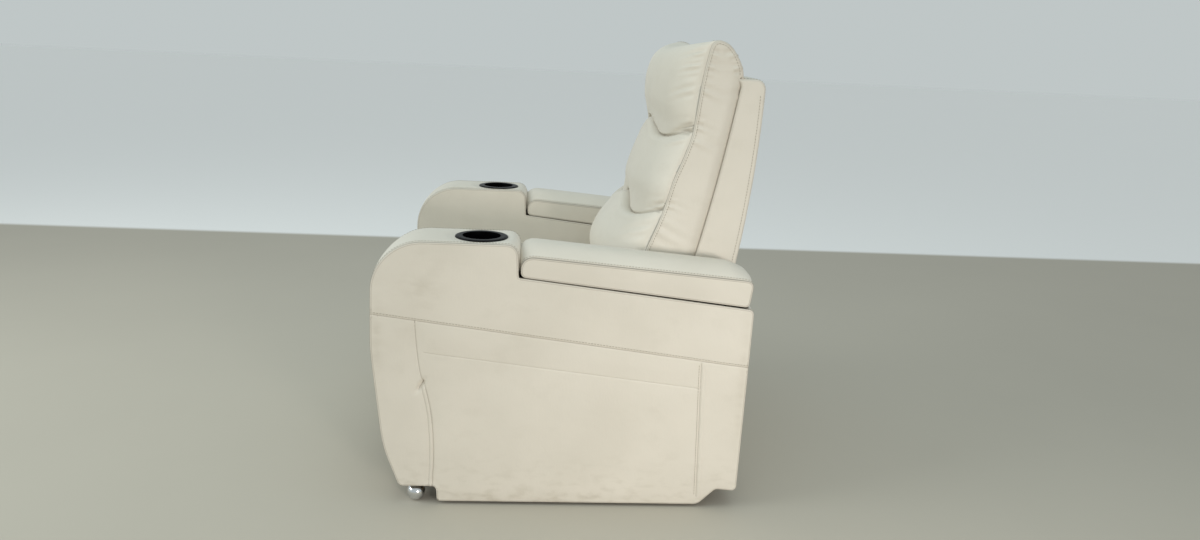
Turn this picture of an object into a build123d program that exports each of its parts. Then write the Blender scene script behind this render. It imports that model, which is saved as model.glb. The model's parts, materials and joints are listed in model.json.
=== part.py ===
"""Power recliner with cup-holder arms, lift-up armrest lids, a reclining back and a swing-out footrest.

Millimetres. +Z is up, the chair faces -Y, and the origin is on the floor under the middle of the chair.
Left and right are the sitter's: the left arm is at +X.
"""

from build123d import *
from math import cos, radians, sin, tan
import os

# Overall sizes
SEAT_GAP = 598.0
ARM_WIDTH = 166.0
ARM_LENGTH = 888.0
BACK_OVERHANG = 22.0

# Clearances
FIT = 0.3
RUNNING = 0.05
LINK_GAP = 1.5

# Arm outline, seen from the side
ARM_TOP = 648.0
ARM_BOTTOM = 7.0
TOE_HEIGHT = 46.0
TOE_SETBACK = 62.0
TOE_LENGTH = 152.0
TOE_ROUND = 16.0
TOE_STEP = 2.0
TOE_STEP_ROUND = 12.0
TOE_TIP_ROUND = 4.0
SHIN_HEIGHT = 150.0
SHIN_SETBACK = 24.0
SHIN_ROUND = 320.0
BULGE_HEIGHT = 390.0
BULGE = 1.0
BULGE_ROUND = 500.0
TOP_SETBACK = 3.0
TOP_ROUND = 120.0
CUP_BLOCK_LENGTH = 333.0
CUP_BLOCK_ROUND = 26.0
LID_SLIT = 4.0
LID_SLIT_ROUND = 3.0
LEDGE_DROP = 76.0
LEDGE_SLOPE = 6.3
HEEL_LENGTH = 98.0
HEEL_SCALLOP = 42.0
HEEL_SCALLOP_ROUND = 30.0
HEEL_HEIGHT = 44.0
HEEL_CREST = 5.0
HEEL_CREST_ROUND = 14.0
HEEL_TUCK = 4.0
HEEL_ROUND = 12.0
REAR_TOP_ROUND = 14.0

# Arm construction
SIDE_PAD = 20.0
SIDE_PAD_EDGE = 11.0
FRONT_PAD = 22.0
REAR_PAD = 34.0
PLYWOOD = 12.0
BIN_DROP = 80.0
BIN_DEPTH = 120.0
BIN_WALL = 2.5
CUP_CENTRE = 246.0
CUP_RADIUS = 45.0
CUP_DEPTH = 80.0
CUP_WALL = 2.0
CUP_FLANGE_RADIUS = 62.0
CUP_FLANGE = 3.0

# Armrest lid, measured from its hinge along and square to the sloping ledge
HINGE_SETBACK = 10.0
HINGE_RADIUS = 3.6
HINGE_PIN_RADIUS = 1.8
HINGE_LEAF = 2.0
HINGE_LEAF_LENGTH = 22.0
HINGE_WIDTH = 90.0
HINGE_SLIT = 1.0
LID_FRONT_GAP = 6.0
LID_BOARD = 10.0
LID_BOARD_INSET = 9.0
LID_BOARD_SETBACK = 4.0
LID_PAD = 58.0
LID_PAD_REAR = 74.0
LID_CROWN = 25.0
LID_SHOULDER = 7.5
LID_SIDE_GAP = 1.0
LID_TUCK = 3.0
LID_EDGE_ROUND = 4.0
LID_FRONT_ROUND = 26.0
LID_SLOPE_LENGTH = 85.0
LID_SLOPE_ROUND = 40.0
LID_TAIL = 1.0
LID_TAIL_RISE = 3.0
LID_TAIL_ROUND = 12.0

# Feet
BALL_RADIUS = 22.0
BALL_FLAT = 1.0
BALL_INSET = 26.0
BALL_SETBACK = 100.0
BALL_NECK_RADIUS = 9.0
GLIDE_RADIUS = 20.0
GLIDE_INSET = 143.0

# Base
RAIL_WIDTH = 30.0
RAIL_HEIGHT = 50.0
RAIL_BOTTOM = 45.0
RAIL_FRONT = 165.0
RAIL_REAR = 43.0
RAIL_WALL = 3.0
PLATE = 6.0
PLATE_NOSE = 32.0
PLATE_TAIL = 28.0
PLATE_HEEL = 45.0
PLATE_HEEL_RISE = 20.0
PLATE_NECK = 40.0
PLATE_SLOPE = 70.0
PLATE_ROUND = 12.0
PLATE_TAIL_ROUND = 24.0
PLATE_HEEL_ROUND = 30.0
PLATE_WAIST_ROUND = 60.0
PLATE_SLOPE_ROUND = 40.0
WINDOW_LENGTH = 86.0
WINDOW_HEIGHT = 100.0
WINDOW_PITCH = 110.0
WINDOW_ROUND = 16.0
TUBE = 30.0
TUBE_WALL = 2.0
FRONT_TUBE = 285.0
MOTOR_TUBE = 200.0
REAR_TUBE = 98.0
BOLT_RADIUS = 4.0
BOLT_HEAD_RADIUS = 7.0
BOLT_HEAD = 5.0
FRONT_BOLT = 245.0
REAR_BOLT = 153.0
APRON = 12.0
APRON_DROP = 10.0
APRON_BOTTOM = 60.0
APRON_SETBACK = 6.0

# Seat
SEAT_RAIL_WIDTH = 40.0
SEAT_RAIL_HEIGHT = 30.0
SEAT_RAIL_RISE = 57.0
SEAT_RAIL_FRONT = 77.0
SEAT_RAIL_REAR = 108.0
STRAP = 2.0
STRAP_WIDTH = 50.0
SEAT_STRAPS = 5
SEAT_CUSHION = 88.0
SEAT_FRONT = 26.0
SEAT_REAR = 69.0
SEAT_TUCK = 10.0
SEAT_FRONT_ROUND = 34.0
SEAT_REAR_ROUND = 22.0
SEAT_BOTTOM_ROUND = 14.0
SEAT_DISH_SETBACK = 150.0
SEAT_DISH_ROUND = 160.0
SEAT_DISH = 6.0
SEAT_DIP = 14.0
SEAT_CROWN = 24.0
SEAT_DRAW = 14.0
CUSHION_SIDE_GAP = 5.0

# Backrest
PIVOT_INSET = 185.0
PIVOT_HEIGHT = 345.0
PIVOT_PIN_RADIUS = 8.0
PIVOT_PIN_GAP = 2.0
BACK_LEAN = 10.9
RECLINE_SWING = 35.0
UPRIGHT_DEPTH = 40.0
UPRIGHT_WIDTH = 26.0
UPRIGHT_DROP = 21.0
UPRIGHT_GAP = 1.0
PIVOT_TUBE_RADIUS = 14.0
BACK_STRAPS = 4
BACK_STRAP_START = 200.0
BACK_STRAP_PITCH = 136.0
SHELL = 16.0
SHELL_RISE = 35.0
SHELL_DROP = 86.0
SHELL_RAKE = 75.0
SHELL_ROUND = 24.0
WING_ROUND = 5.0
WING_GAP = 3.0
WING_GAP_TOP = 17.0
WING_BOW = 12.0
LUMBAR_REST = 3.0
LUMBAR_HEIGHT = 228.0
MIDDLE_HEIGHT = 193.0
HEAD_HEIGHT = 208.0
PILLOW_GAP = 1.0
PILLOW_DRAW = 4.0
PILLOW_BACK_ROUND = 10.0

# Pillow depths in front of the deck: at the side seams, and how much more in the middle
LUMBAR_LOW_SIDE = 95.0
LUMBAR_LOW_PUFF = 80.0
LUMBAR_BELLY_RISE = 100.0
LUMBAR_BELLY_SIDE = 88.0
LUMBAR_BELLY_PUFF = 135.0
LUMBAR_HIGH_SIDE = 82.0
LUMBAR_HIGH_PUFF = 82.0
LUMBAR_LOW_ROUND = 40.0
LUMBAR_BELLY_ROUND = 60.0
LUMBAR_HIGH_ROUND = 28.0
MIDDLE_LOW_SIDE = 80.0
MIDDLE_LOW_PUFF = 80.0
MIDDLE_HIGH_SIDE = 68.0
MIDDLE_HIGH_PUFF = 84.0
MIDDLE_ROUND = 32.0
HEAD_LOW_SIDE = 78.0
HEAD_LOW_PUFF = 74.0
HEAD_HIGH_SIDE = 103.0
HEAD_HIGH_PUFF = 68.0
HEAD_LOW_ROUND = 34.0
HEAD_HIGH_ROUND = 48.0
HEAD_BROW_DROP = 6.0
HEAD_OVERHANG = 18.0
HEAD_REAR_DRAW = 3.0
HEAD_REAR_ROUND = 42.0
HEAD_LIP_ROUND = 4.0
HEAD_NECK_ROUND = 2.0

# Footrest linkage
SWING_SETBACK = 231.0
LINK_LENGTH = 230.0
LINK_FOLD = 76.0
FOOTREST_SWING = 62.0
LINK = 5.0
LINK_HALF = 12.0
LINK_PIN_RADIUS = 5.0
TORQUE_TUBE_RADIUS = 12.0
LINK_HUB = 8.0
PIN_HEAD = 3.0
PIN_END = 2.0
BOARD = 15.0
BOARD_RISE = 20.0
BOARD_HEIGHT = 240.0
BOARD_INSET = 6.0
BOARD_OFFSET = 30.0
FOOT_PAD = 60.0
FOOT_PAD_OVER = 20.0
FOOT_PAD_UNDER = 10.0
FOOT_PAD_DRAW = 18.0
FOOT_PAD_BOW = 3.0
FOOT_PAD_BOW_ROUND = 400.0
FOOT_PAD_ROUND = 28.0
FOOT_PAD_BACK_ROUND = 3.0
BRACKET_WIDTH = 30.0
BRACKET_LENGTH = 95.0
BRACKET_TAPER = 20.0
BRACKET_LUG = 1.0
BRACKET = 4.0

# Drives
DRIVE_X = 70.0
CRANK_LENGTH = 90.0
CRANK_TIP = 116.0
CRANK_HALF = 18.0
CRANK_PLATE = 8.0
CRANK_HUB = 4.0
DRIVE_PIN_RADIUS = 6.0
SLOT_CLEARANCE = 3.0
SLOT_ROOT = 78.0
GUIDE_RADIUS = 10.0
GUIDE_DROP = 51.0
CARRIAGE_LENGTH = 44.0
CARRIAGE_WIDTH = 40.0
CARRIAGE_HEIGHT = 40.0
EAR = 8.0
EAR_HALF = 12.0
MOTOR_LENGTH = 100.0
MOTOR_WIDTH = 64.0
MOTOR_RADIUS = 28.0
GEARBOX_HALF = 28.0
GEARBOX_ROUND = 12.0
HANGER = 6.0
HANGER_HALF = 15.0
INLET_WIDTH = 28.0
INLET_DEPTH = 20.0
INLET_INSET = 2.0
SOCKET_DEPTH = 8.0
SOCKET_RADIUS = 8.0

# Switch on the outer face of the right arm
SWITCH_SETBACK = 205.0
SWITCH_DROP = 128.0
SWITCH_LENGTH = 66.0
SWITCH_TALL = 42.0
SWITCH_ROUND = 5.0
SWITCH_RECESS = 1.5
BUTTON_LENGTH = 24.0
BUTTON_TALL = 28.0
BUTTON_DEPTH = 9.0
BUTTON_TRAVEL = 1.5
BUTTON_GAP = 0.3
BUTTON_PITCH = 29.0
BUTTON_ROUND = 4.0

# Places that follow from the sizes
REAR = (ARM_LENGTH + BACK_OVERHANG) / 2
FRONT = -REAR
ARM_REAR = REAR - BACK_OVERHANG
ARM_IN = SEAT_GAP / 2
ARM_OUT = ARM_IN + ARM_WIDTH
ARM_MID = (ARM_OUT + ARM_IN) / 2
CORE_IN = ARM_IN + SIDE_PAD
CORE_OUT = ARM_OUT - SIDE_PAD
BLOCK_REAR = FRONT + CUP_BLOCK_LENGTH
LEDGE_START = BLOCK_REAR + LID_SLIT
LEDGE_FRONT = ARM_TOP - LEDGE_DROP
BIN_TOP = LEDGE_FRONT - BIN_DROP
BIN_FLOOR = BIN_TOP - BIN_DEPTH
SWITCH_HEIGHT = ARM_TOP - SWITCH_DROP
CUP_Y = FRONT + CUP_CENTRE
PLATE_OUT = ARM_IN - RAIL_WIDTH
PLATE_IN = PLATE_OUT - PLATE
PIVOT_Y = REAR - PIVOT_INSET
SWING_Y = FRONT + SWING_SETBACK
SWING_HEIGHT = PIVOT_HEIGHT
TUBE_BOTTOM = RAIL_BOTTOM + (RAIL_HEIGHT - TUBE) / 2
TUBE_TOP = TUBE_BOTTOM + TUBE
MOTOR_Y = PIVOT_Y - MOTOR_TUBE
REAR_TUBE_Y = ARM_REAR - REAR_TUBE
BOLT_YS = (FRONT + FRONT_BOLT, ARM_REAR - REAR_BOLT)
SEAT_RAIL_TOP = SWING_HEIGHT + SEAT_RAIL_RISE
SEAT_TOP = SEAT_RAIL_TOP + SEAT_CUSHION
LUMBAR_TOP = SEAT_TOP + LUMBAR_HEIGHT
MIDDLE_TOP = LUMBAR_TOP + MIDDLE_HEIGHT
BACK_TOP = MIDDLE_TOP + HEAD_HEIGHT
SHELL_TOP = BACK_TOP - SHELL_DROP
SHELL_BOTTOM = PIVOT_HEIGHT + SHELL_RISE
UPRIGHT_TOP = SHELL_TOP - UPRIGHT_DROP


def ledge(y):
    """Height of the arm's sloping ledge under the lid."""
    return LEDGE_FRONT - (y - LEDGE_START) * tan(radians(LEDGE_SLOPE))


def outline(points, radii):
    """A closed face in the YZ plane with rounded corners."""
    return Plane.YZ * make_face(FilletPolyline(*points, radius=radii, close=True))


def polygon(*points):
    """A closed face in the YZ plane with sharp corners."""
    return Plane.YZ * make_face(Polyline(*points, close=True))


def slab(face, x0, x1):
    """A YZ face carried along X from x0 to x1."""
    return extrude(Pos(x0, 0, 0) * face, amount=x1 - x0, dir=(1, 0, 0))


def block(x0, x1, y0, y1, z0, z1):
    """A box between two corners."""
    centre = Pos((x0 + x1) / 2, (y0 + y1) / 2, (z0 + z1) / 2)
    return centre * Box(x1 - x0, y1 - y0, z1 - z0)


def rod(x0, x1, y, z, radius):
    """A round bar along X."""
    return Pos((x0 + x1) / 2, y, z) * Rot(0, 90, 0) * Cylinder(radius, x1 - x0)


def rod_along_y(y0, y1, x, z, radius):
    """A round bar along Y."""
    return Pos(x, (y0 + y1) / 2, z) * Rot(90, 0, 0) * Cylinder(radius, y1 - y0)


def opposite(shape):
    """The same piece on the other side of the chair."""
    return mirror(shape, about=Plane.YZ)


def write(name, *shapes):
    """One node, of one solid or of several like ones."""
    whole = shapes[0] if len(shapes) == 1 else Compound(children=list(shapes))
    export_step(whole, f"parts/{name}.step")


def write_pair(name, left):
    """A left node and its mirrored right node."""
    write(f"left_{name}", left)
    write(f"right_{name}", opposite(left))


# Arms


def arm_outline():
    """The whole arm from the side: toe, bulged front, cup block, sloping ledge and scalloped heel."""
    heel = ARM_REAR - HEEL_LENGTH
    points = [
        (FRONT + TOE_LENGTH, ARM_BOTTOM),
        (heel, ARM_BOTTOM),
        (heel + HEEL_SCALLOP, HEEL_HEIGHT + HEEL_CREST),
        (ARM_REAR - HEEL_TUCK, HEEL_HEIGHT),
        (ARM_REAR, ledge(ARM_REAR)),
        (LEDGE_START, LEDGE_FRONT),
        (BLOCK_REAR, ARM_TOP),
        (FRONT + TOP_SETBACK, ARM_TOP),
        (FRONT - BULGE, BULGE_HEIGHT),
        (FRONT + SHIN_SETBACK, SHIN_HEIGHT),
        (FRONT + TOE_SETBACK, TOE_HEIGHT),
        (FRONT + TOE_LENGTH - TOE_STEP, TOE_HEIGHT),
    ]
    radii = [
        TOE_TIP_ROUND,
        HEEL_SCALLOP_ROUND,
        HEEL_CREST_ROUND,
        HEEL_ROUND,
        REAR_TOP_ROUND,
        LID_SLIT_ROUND,
        CUP_BLOCK_ROUND,
        TOP_ROUND,
        BULGE_ROUND,
        SHIN_ROUND,
        TOE_ROUND,
        TOE_STEP_ROUND,
    ]
    return outline(points, radii)


def core_outline(inset):
    """The plywood panels' outline, set in from the arm's own outline."""
    bottom = ARM_BOTTOM + inset
    top = ARM_TOP - inset
    rear = ARM_REAR - REAR_PAD - inset + FRONT_PAD
    return polygon(
        (FRONT + TOE_LENGTH + inset, bottom),
        (ARM_REAR - HEEL_LENGTH, bottom),
        (rear, HEEL_HEIGHT + HEEL_SCALLOP),
        (rear, ledge(rear) - inset),
        (BLOCK_REAR - inset, LEDGE_FRONT - inset),
        (BLOCK_REAR - inset, top),
        (FRONT + TOP_ROUND, top),
        (FRONT + inset + TOP_ROUND / 4, top - TOP_ROUND / 3),
        (FRONT + inset, top - TOP_ROUND),
        (FRONT + inset, BULGE_HEIGHT),
        (FRONT + SHIN_SETBACK + inset, SHIN_HEIGHT),
        (FRONT + TOE_SETBACK + inset, TOE_HEIGHT + inset),
        (FRONT + TOE_LENGTH + inset, TOE_HEIGHT + inset),
    )


def bolt_holes(radius):
    """The holes that the two arm bolts pass through, on the left side."""
    height = RAIL_BOTTOM + RAIL_HEIGHT / 2
    reach = CORE_IN + PLYWOOD
    return [rod(PLATE_IN - BOLT_HEAD, reach, y, height, radius) for y in BOLT_YS]


def side_pad(x0, x1, soft_x):
    """An upholstered side of the arm, with its show edge rounded."""
    pad = slab(arm_outline(), x0, x1)
    show = [edge for edge in pad.edges() if abs(edge.center().X - soft_x) < 0.01]
    return fillet(show, SIDE_PAD_EDGE)


def cup_hole(radius, bottom):
    """The round hole for the cup holder."""
    height = ARM_TOP + CUP_FLANGE - bottom
    return Pos(ARM_MID, CUP_Y, bottom + height / 2) * Cylinder(radius, height)


def arm_front_pad():
    """The strip that runs up the arm's front and over the cup-holder block."""
    face = arm_outline() - core_outline(FRONT_PAD)
    strip = slab(face, CORE_IN, CORE_OUT)
    front = block(CORE_IN, CORE_OUT, 2 * FRONT, BLOCK_REAR - FRONT_PAD, TOE_HEIGHT, ARM_TOP)
    rear = block(CORE_IN, CORE_OUT, FRONT, LEDGE_START, LEDGE_FRONT + FIT, ARM_TOP)
    strip = strip & (front + rear)
    return strip - cup_hole(CUP_RADIUS + CUP_WALL + FIT, ARM_TOP - CUP_DEPTH - CUP_FLANGE)


def arm_rear_pad():
    """The upholstered rear end of the arm, which also carries the lid's hinge."""
    whole = slab(arm_outline(), CORE_IN, CORE_OUT)
    return whole & block(CORE_IN, CORE_OUT, ARM_REAR - REAR_PAD, ARM_REAR, HEEL_HEIGHT + HEEL_ROUND, ARM_TOP)


BIN_FRONT = LEDGE_START + PLYWOOD
BIN_REAR = ARM_REAR - REAR_PAD - FIT - PLYWOOD


def arm_frame():
    """Two plywood sides joined by the boards round the storage bin and under the cup block."""
    inner = slab(core_outline(FRONT_PAD + FIT), CORE_IN, CORE_IN + PLYWOOD)
    outer = slab(core_outline(FRONT_PAD + FIT), CORE_OUT - PLYWOOD, CORE_OUT)
    x0 = CORE_IN + PLYWOOD
    x1 = CORE_OUT - PLYWOOD
    floor = ARM_BOTTOM + FRONT_PAD + FIT
    foot_front = FRONT + TOE_LENGTH + FRONT_PAD + FIT
    front_face = FRONT + FRONT_PAD + FIT
    bottom_board = block(x0, x1, foot_front, ARM_REAR - HEEL_LENGTH, floor, floor + PLYWOOD)
    front_board = block(x0, x1, front_face, front_face + PLYWOOD, BULGE_HEIGHT, ARM_TOP - FRONT_PAD - TOP_ROUND)
    bin_front = block(x0, x1, LEDGE_START, BIN_FRONT, BIN_FLOOR - PLYWOOD, BIN_TOP)
    bin_rear = block(x0, x1, BIN_REAR, BIN_REAR + PLYWOOD, floor + PLYWOOD, BIN_TOP)
    bin_floor = block(x0, x1, BIN_FRONT, BIN_REAR, BIN_FLOOR - PLYWOOD, BIN_FLOOR)
    top = ARM_TOP - FRONT_PAD - FIT
    top_board = block(x0, x1, FRONT + TOP_ROUND, BLOCK_REAR - FRONT_PAD - FIT, top - PLYWOOD, top)
    frame = inner + outer + bottom_board + front_board + bin_front + bin_rear + bin_floor + top_board
    frame -= cup_hole(CUP_RADIUS + CUP_WALL + FIT, ARM_TOP - CUP_DEPTH - CUP_FLANGE)
    return frame - bolt_holes(BOLT_RADIUS)


def storage_bin():
    """An open moulded tray between the plywood sides."""
    x0 = CORE_IN + PLYWOOD + FIT
    x1 = CORE_OUT - PLYWOOD - FIT
    y0 = BIN_FRONT + FIT
    y1 = BIN_REAR - FIT
    tray = block(x0, x1, y0, y1, BIN_FLOOR, BIN_TOP)
    inside = block(
        x0 + BIN_WALL, x1 - BIN_WALL, y0 + BIN_WALL, y1 - BIN_WALL, BIN_FLOOR + BIN_WALL, BIN_TOP
    )
    return tray - inside


def cup_holder():
    """A flanged cup turned about its own axis."""
    wall = CUP_RADIUS + CUP_WALL
    section = Polyline(
        (0, -CUP_DEPTH - CUP_WALL),
        (wall, -CUP_DEPTH - CUP_WALL),
        (wall, 0),
        (CUP_FLANGE_RADIUS, 0),
        (CUP_FLANGE_RADIUS - CUP_FLANGE / 3, CUP_FLANGE * 0.6),
        (CUP_FLANGE_RADIUS - 2 * CUP_FLANGE, CUP_FLANGE),
        (CUP_RADIUS, CUP_FLANGE),
        (CUP_RADIUS, -CUP_DEPTH),
        (0, -CUP_DEPTH),
        close=True,
    )
    cup = revolve(Plane.XZ * make_face(section), Axis.Z)
    return Pos(ARM_MID, CUP_Y, ARM_TOP) * cup


HINGE_Y = ARM_REAR - HINGE_SETBACK
HINGE_RISE = HINGE_RADIUS + FIT
HINGE_Z = ledge(HINGE_Y) + HINGE_RISE / cos(radians(LEDGE_SLOPE))
LID_LENGTH = (HINGE_Y - LEDGE_START) / cos(radians(LEDGE_SLOPE)) - LID_FRONT_GAP


def on_ledge(x):
    """A plane with its origin on the lid's hinge, x forward along the ledge and y square to it."""
    forward = (0, -cos(radians(LEDGE_SLOPE)), sin(radians(LEDGE_SLOPE)))
    return Plane(origin=(x, HINGE_Y, HINGE_Z), x_dir=forward, z_dir=(-1, 0, 0))


def ledge_slab(points, x0, x1):
    """A sharp outline in the lid's own plane, carried from x1 back to x0."""
    return extrude(on_ledge(x1) * make_face(Polyline(*points, close=True)), amount=x1 - x0)


def hinge_leaf(low, spans):
    """A hinge leaf with its knuckles, on one side of the hinge line."""
    x0 = ARM_MID - HINGE_WIDTH / 2
    x1 = ARM_MID + HINGE_WIDTH / 2
    reach = HINGE_LEAF_LENGTH
    start = HINGE_RADIUS + HINGE_SLIT
    high = low + HINGE_LEAF
    leaf = ledge_slab([(start, low), (reach, low), (reach, high), (start, high)], x0, x1)
    for a, b in spans:
        tab = [(0, low), (reach, low), (reach, high), (0, high)]
        leaf += ledge_slab(tab, a, b) + rod(a, b, HINGE_Y, HINGE_Z, HINGE_RADIUS)
    return leaf


def knuckle_spans():
    """The fixed leaf's two end knuckles and the moving leaf's middle one."""
    third = HINGE_WIDTH / 3
    x0 = ARM_MID - HINGE_WIDTH / 2
    x1 = ARM_MID + HINGE_WIDTH / 2
    fixed = [(x0, x0 + third - FIT), (x1 - third + FIT, x1)]
    moving = [(x0 + third, x1 - third)]
    return fixed, moving


def lid_board():
    """The lid's plywood board, on the hinge's moving leaf."""
    low = HINGE_RISE
    rear = HINGE_RADIUS + LID_BOARD_SETBACK
    front = LID_LENGTH - LID_BOARD_INSET
    points = [(rear, low), (front, low), (front, low + LID_BOARD), (rear, low + LID_BOARD)]
    return ledge_slab(points, ARM_IN + LID_BOARD_INSET, ARM_OUT - LID_BOARD_INSET)


def lid_section(x, drop):
    """The lid pad across its width: lower at the sides, by drop, than in the middle; higher at the rear."""
    low = HINGE_RISE + LID_BOARD
    top = low + LID_PAD - drop
    slope = top + (LID_PAD_REAR - LID_PAD) * (1 - LID_SLOPE_LENGTH / LID_LENGTH)
    tail = low + LID_PAD_REAR - LID_CROWN + LID_TAIL_RISE * (1 - drop / LID_CROWN)
    points = [
        (LID_TUCK, low),
        (LID_LENGTH - LID_TUCK, low),
        (LID_LENGTH, top),
        (LID_SLOPE_LENGTH, slope),
        (LID_TAIL, tail),
    ]
    radii = [LID_EDGE_ROUND, LID_EDGE_ROUND, LID_FRONT_ROUND, LID_SLOPE_ROUND, LID_TAIL_ROUND]
    return on_ledge(x) * make_face(FilletPolyline(*points, radius=radii, close=True))


def lid_pad():
    """The crowned pad of the lid."""
    x0 = ARM_IN + LID_SIDE_GAP
    x1 = ARM_OUT - LID_SIDE_GAP
    edge = (x1 - x0) / 6
    half = [(x0, LID_CROWN), (x0 + edge, LID_SHOULDER)]
    stations = half + [(ARM_MID, 0)] + [(x0 + x1 - x, drop) for x, drop in reversed(half)]
    return loft([lid_section(x, drop) for x, drop in stations])


def make_arms():
    left_outer = side_pad(CORE_OUT, ARM_OUT, ARM_OUT)
    write("left_arm_outer_pad", left_outer)
    write("right_arm_outer_pad", opposite(left_outer) - switch_pocket())
    inner = side_pad(ARM_IN, CORE_IN, ARM_IN)
    write_pair("arm_inner_pad", inner - bolt_holes(BOLT_RADIUS + FIT))
    write_pair("arm_front_pad", arm_front_pad())
    write_pair("arm_rear_pad", arm_rear_pad())
    write_pair("arm_frame", arm_frame())
    write_pair("storage_bin", storage_bin())
    write_pair("cup_holder", cup_holder())
    write_pair("lid_board", lid_board())
    write_pair("lid_pad", lid_pad())
    fixed, moving = knuckle_spans()
    pin_hole = rod(ARM_IN, ARM_OUT, HINGE_Y, HINGE_Z, HINGE_PIN_RADIUS + RUNNING)
    seat_hole = rod(ARM_IN, ARM_OUT, HINGE_Y, HINGE_Z, HINGE_PIN_RADIUS)
    write_pair("lid_hinge_leaf", hinge_leaf(HINGE_RISE - HINGE_LEAF, moving) - pin_hole)
    base_leaf = hinge_leaf(-HINGE_RISE, fixed) - seat_hole
    write("lid_hinge_bases", base_leaf, opposite(base_leaf))
    pin = rod(fixed[0][0], fixed[1][1], HINGE_Y, HINGE_Z, HINGE_PIN_RADIUS)
    write("lid_hinge_pins", pin, opposite(pin))


def make_feet():
    """Polished balls under the arm fronts and flat glides under the arm rears."""
    x = ARM_OUT - BALL_INSET
    y = FRONT + BALL_SETBACK
    ball = Pos(x, y, BALL_RADIUS - BALL_FLAT) * Sphere(BALL_RADIUS)
    neck_bottom = BALL_RADIUS
    neck = Pos(x, y, (neck_bottom + TOE_HEIGHT) / 2) * Cylinder(BALL_NECK_RADIUS, TOE_HEIGHT - neck_bottom)
    reach = 2 * BALL_RADIUS
    above_floor = block(x - reach, x + reach, y - reach, y + reach, 0, TOE_HEIGHT)
    foot = (ball + neck) & above_floor
    write("front_ball_feet", foot, opposite(foot))
    glide_x = CORE_IN + PLYWOOD / 2
    tip = Pos(glide_x, ARM_REAR - GLIDE_INSET, ARM_BOTTOM / 2) * Cylinder(GLIDE_RADIUS, ARM_BOTTOM)
    write("rear_glides", tip, opposite(tip))


# Base


def make_base():
    y0 = FRONT + RAIL_FRONT
    y1 = ARM_REAR - RAIL_REAR
    top = RAIL_BOTTOM + RAIL_HEIGHT
    wall = RAIL_WALL
    holes = bolt_holes(BOLT_RADIUS + FIT)
    rail = block(PLATE_OUT, ARM_IN, y0, y1, RAIL_BOTTOM, top)
    hollow = block(PLATE_OUT + wall, ARM_IN - wall, y0, y1, RAIL_BOTTOM + wall, top - wall)
    rail = rail - hollow - holes
    write("base_rails", rail, opposite(rail))
    plate = side_plate() - holes
    write("side_plates", plate, opposite(plate))
    write("cross_tubes", *[cross_tube(y) for y in (FRONT + FRONT_TUBE, MOTOR_Y, REAR_TUBE_Y)])
    height = RAIL_BOTTOM + RAIL_HEIGHT / 2
    bolts = []
    for y in BOLT_YS:
        head = rod(PLATE_IN - BOLT_HEAD, PLATE_IN, y, height, BOLT_HEAD_RADIUS)
        bolt = head + rod(PLATE_IN, CORE_IN + PLYWOOD, y, height, BOLT_RADIUS)
        bolts += [bolt, opposite(bolt)]
    write("arm_bolts", *bolts)
    side = ARM_IN - FIT
    apron_rear = ARM_REAR - APRON_SETBACK
    apron_top = PIVOT_HEIGHT - APRON_DROP
    write("rear_apron", block(-side, side, apron_rear - APRON, apron_rear, APRON_BOTTOM, apron_top))


def side_plate():
    """The steel plate that carries the footrest's swing, the back's pivot and the seat rails."""
    front = SWING_Y - PLATE_NOSE
    rear = PIVOT_Y + PLATE_TAIL
    heel = rear + PLATE_HEEL
    neck = PIVOT_Y - PLATE_NECK
    shoulder = PIVOT_HEIGHT + PLATE_TAIL
    points = [
        (front, RAIL_BOTTOM),
        (heel, RAIL_BOTTOM),
        (heel, RAIL_BOTTOM + RAIL_HEIGHT + PLATE_HEEL_RISE),
        (rear, PIVOT_HEIGHT - PLATE_NECK),
        (rear, shoulder),
        (neck, shoulder),
        (neck - PLATE_SLOPE, SEAT_RAIL_TOP),
        (front, SEAT_RAIL_TOP),
    ]
    radii = [
        PLATE_ROUND,
        PLATE_ROUND,
        PLATE_HEEL_ROUND,
        PLATE_WAIST_ROUND,
        PLATE_TAIL_ROUND,
        PLATE_TAIL_ROUND,
        PLATE_SLOPE_ROUND,
        PLATE_ROUND,
    ]
    plate = slab(outline(points, radii), PLATE_IN, PLATE_OUT)
    middle = (SWING_Y + PIVOT_Y) / 2
    height = (RAIL_BOTTOM + RAIL_HEIGHT + SEAT_RAIL_TOP - SEAT_RAIL_HEIGHT) / 2
    for shift in (-WINDOW_PITCH, 0, WINDOW_PITCH):
        window = RectangleRounded(WINDOW_LENGTH, WINDOW_HEIGHT, WINDOW_ROUND)
        plate -= slab(Plane.YZ * Pos(middle + shift, height) * window, PLATE_IN, PLATE_OUT)
    plate -= rod(PLATE_IN, PLATE_OUT, SWING_Y, SWING_HEIGHT, TORQUE_TUBE_RADIUS + RUNNING)
    return plate - rod(PLATE_IN, PLATE_OUT, PIVOT_Y, PIVOT_HEIGHT, PIVOT_PIN_RADIUS)


def cross_tube(y):
    """A square steel tube between the side plates."""
    tube = block(-PLATE_IN, PLATE_IN, y - TUBE / 2, y + TUBE / 2, TUBE_BOTTOM, TUBE_TOP)
    half = TUBE / 2 - TUBE_WALL
    middle = (TUBE_BOTTOM + TUBE_TOP) / 2
    return tube - block(-PLATE_IN, PLATE_IN, y - half, y + half, middle - half, middle + half)


# Cushions

CUSHION_X = ARM_IN - CUSHION_SIDE_GAP


def cross_loft(section_at):
    """A cushion lofted across the chair; section_at takes 1 in the middle and 0 at the side seams."""
    sections = []
    for share in (-1, -0.8, 0, 0.8, 1):
        sections.append(Pos(CUSHION_X * share, 0, 0) * section_at(1 - abs(share) ** 3.2))
    return loft(sections)


# Seat

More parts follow.
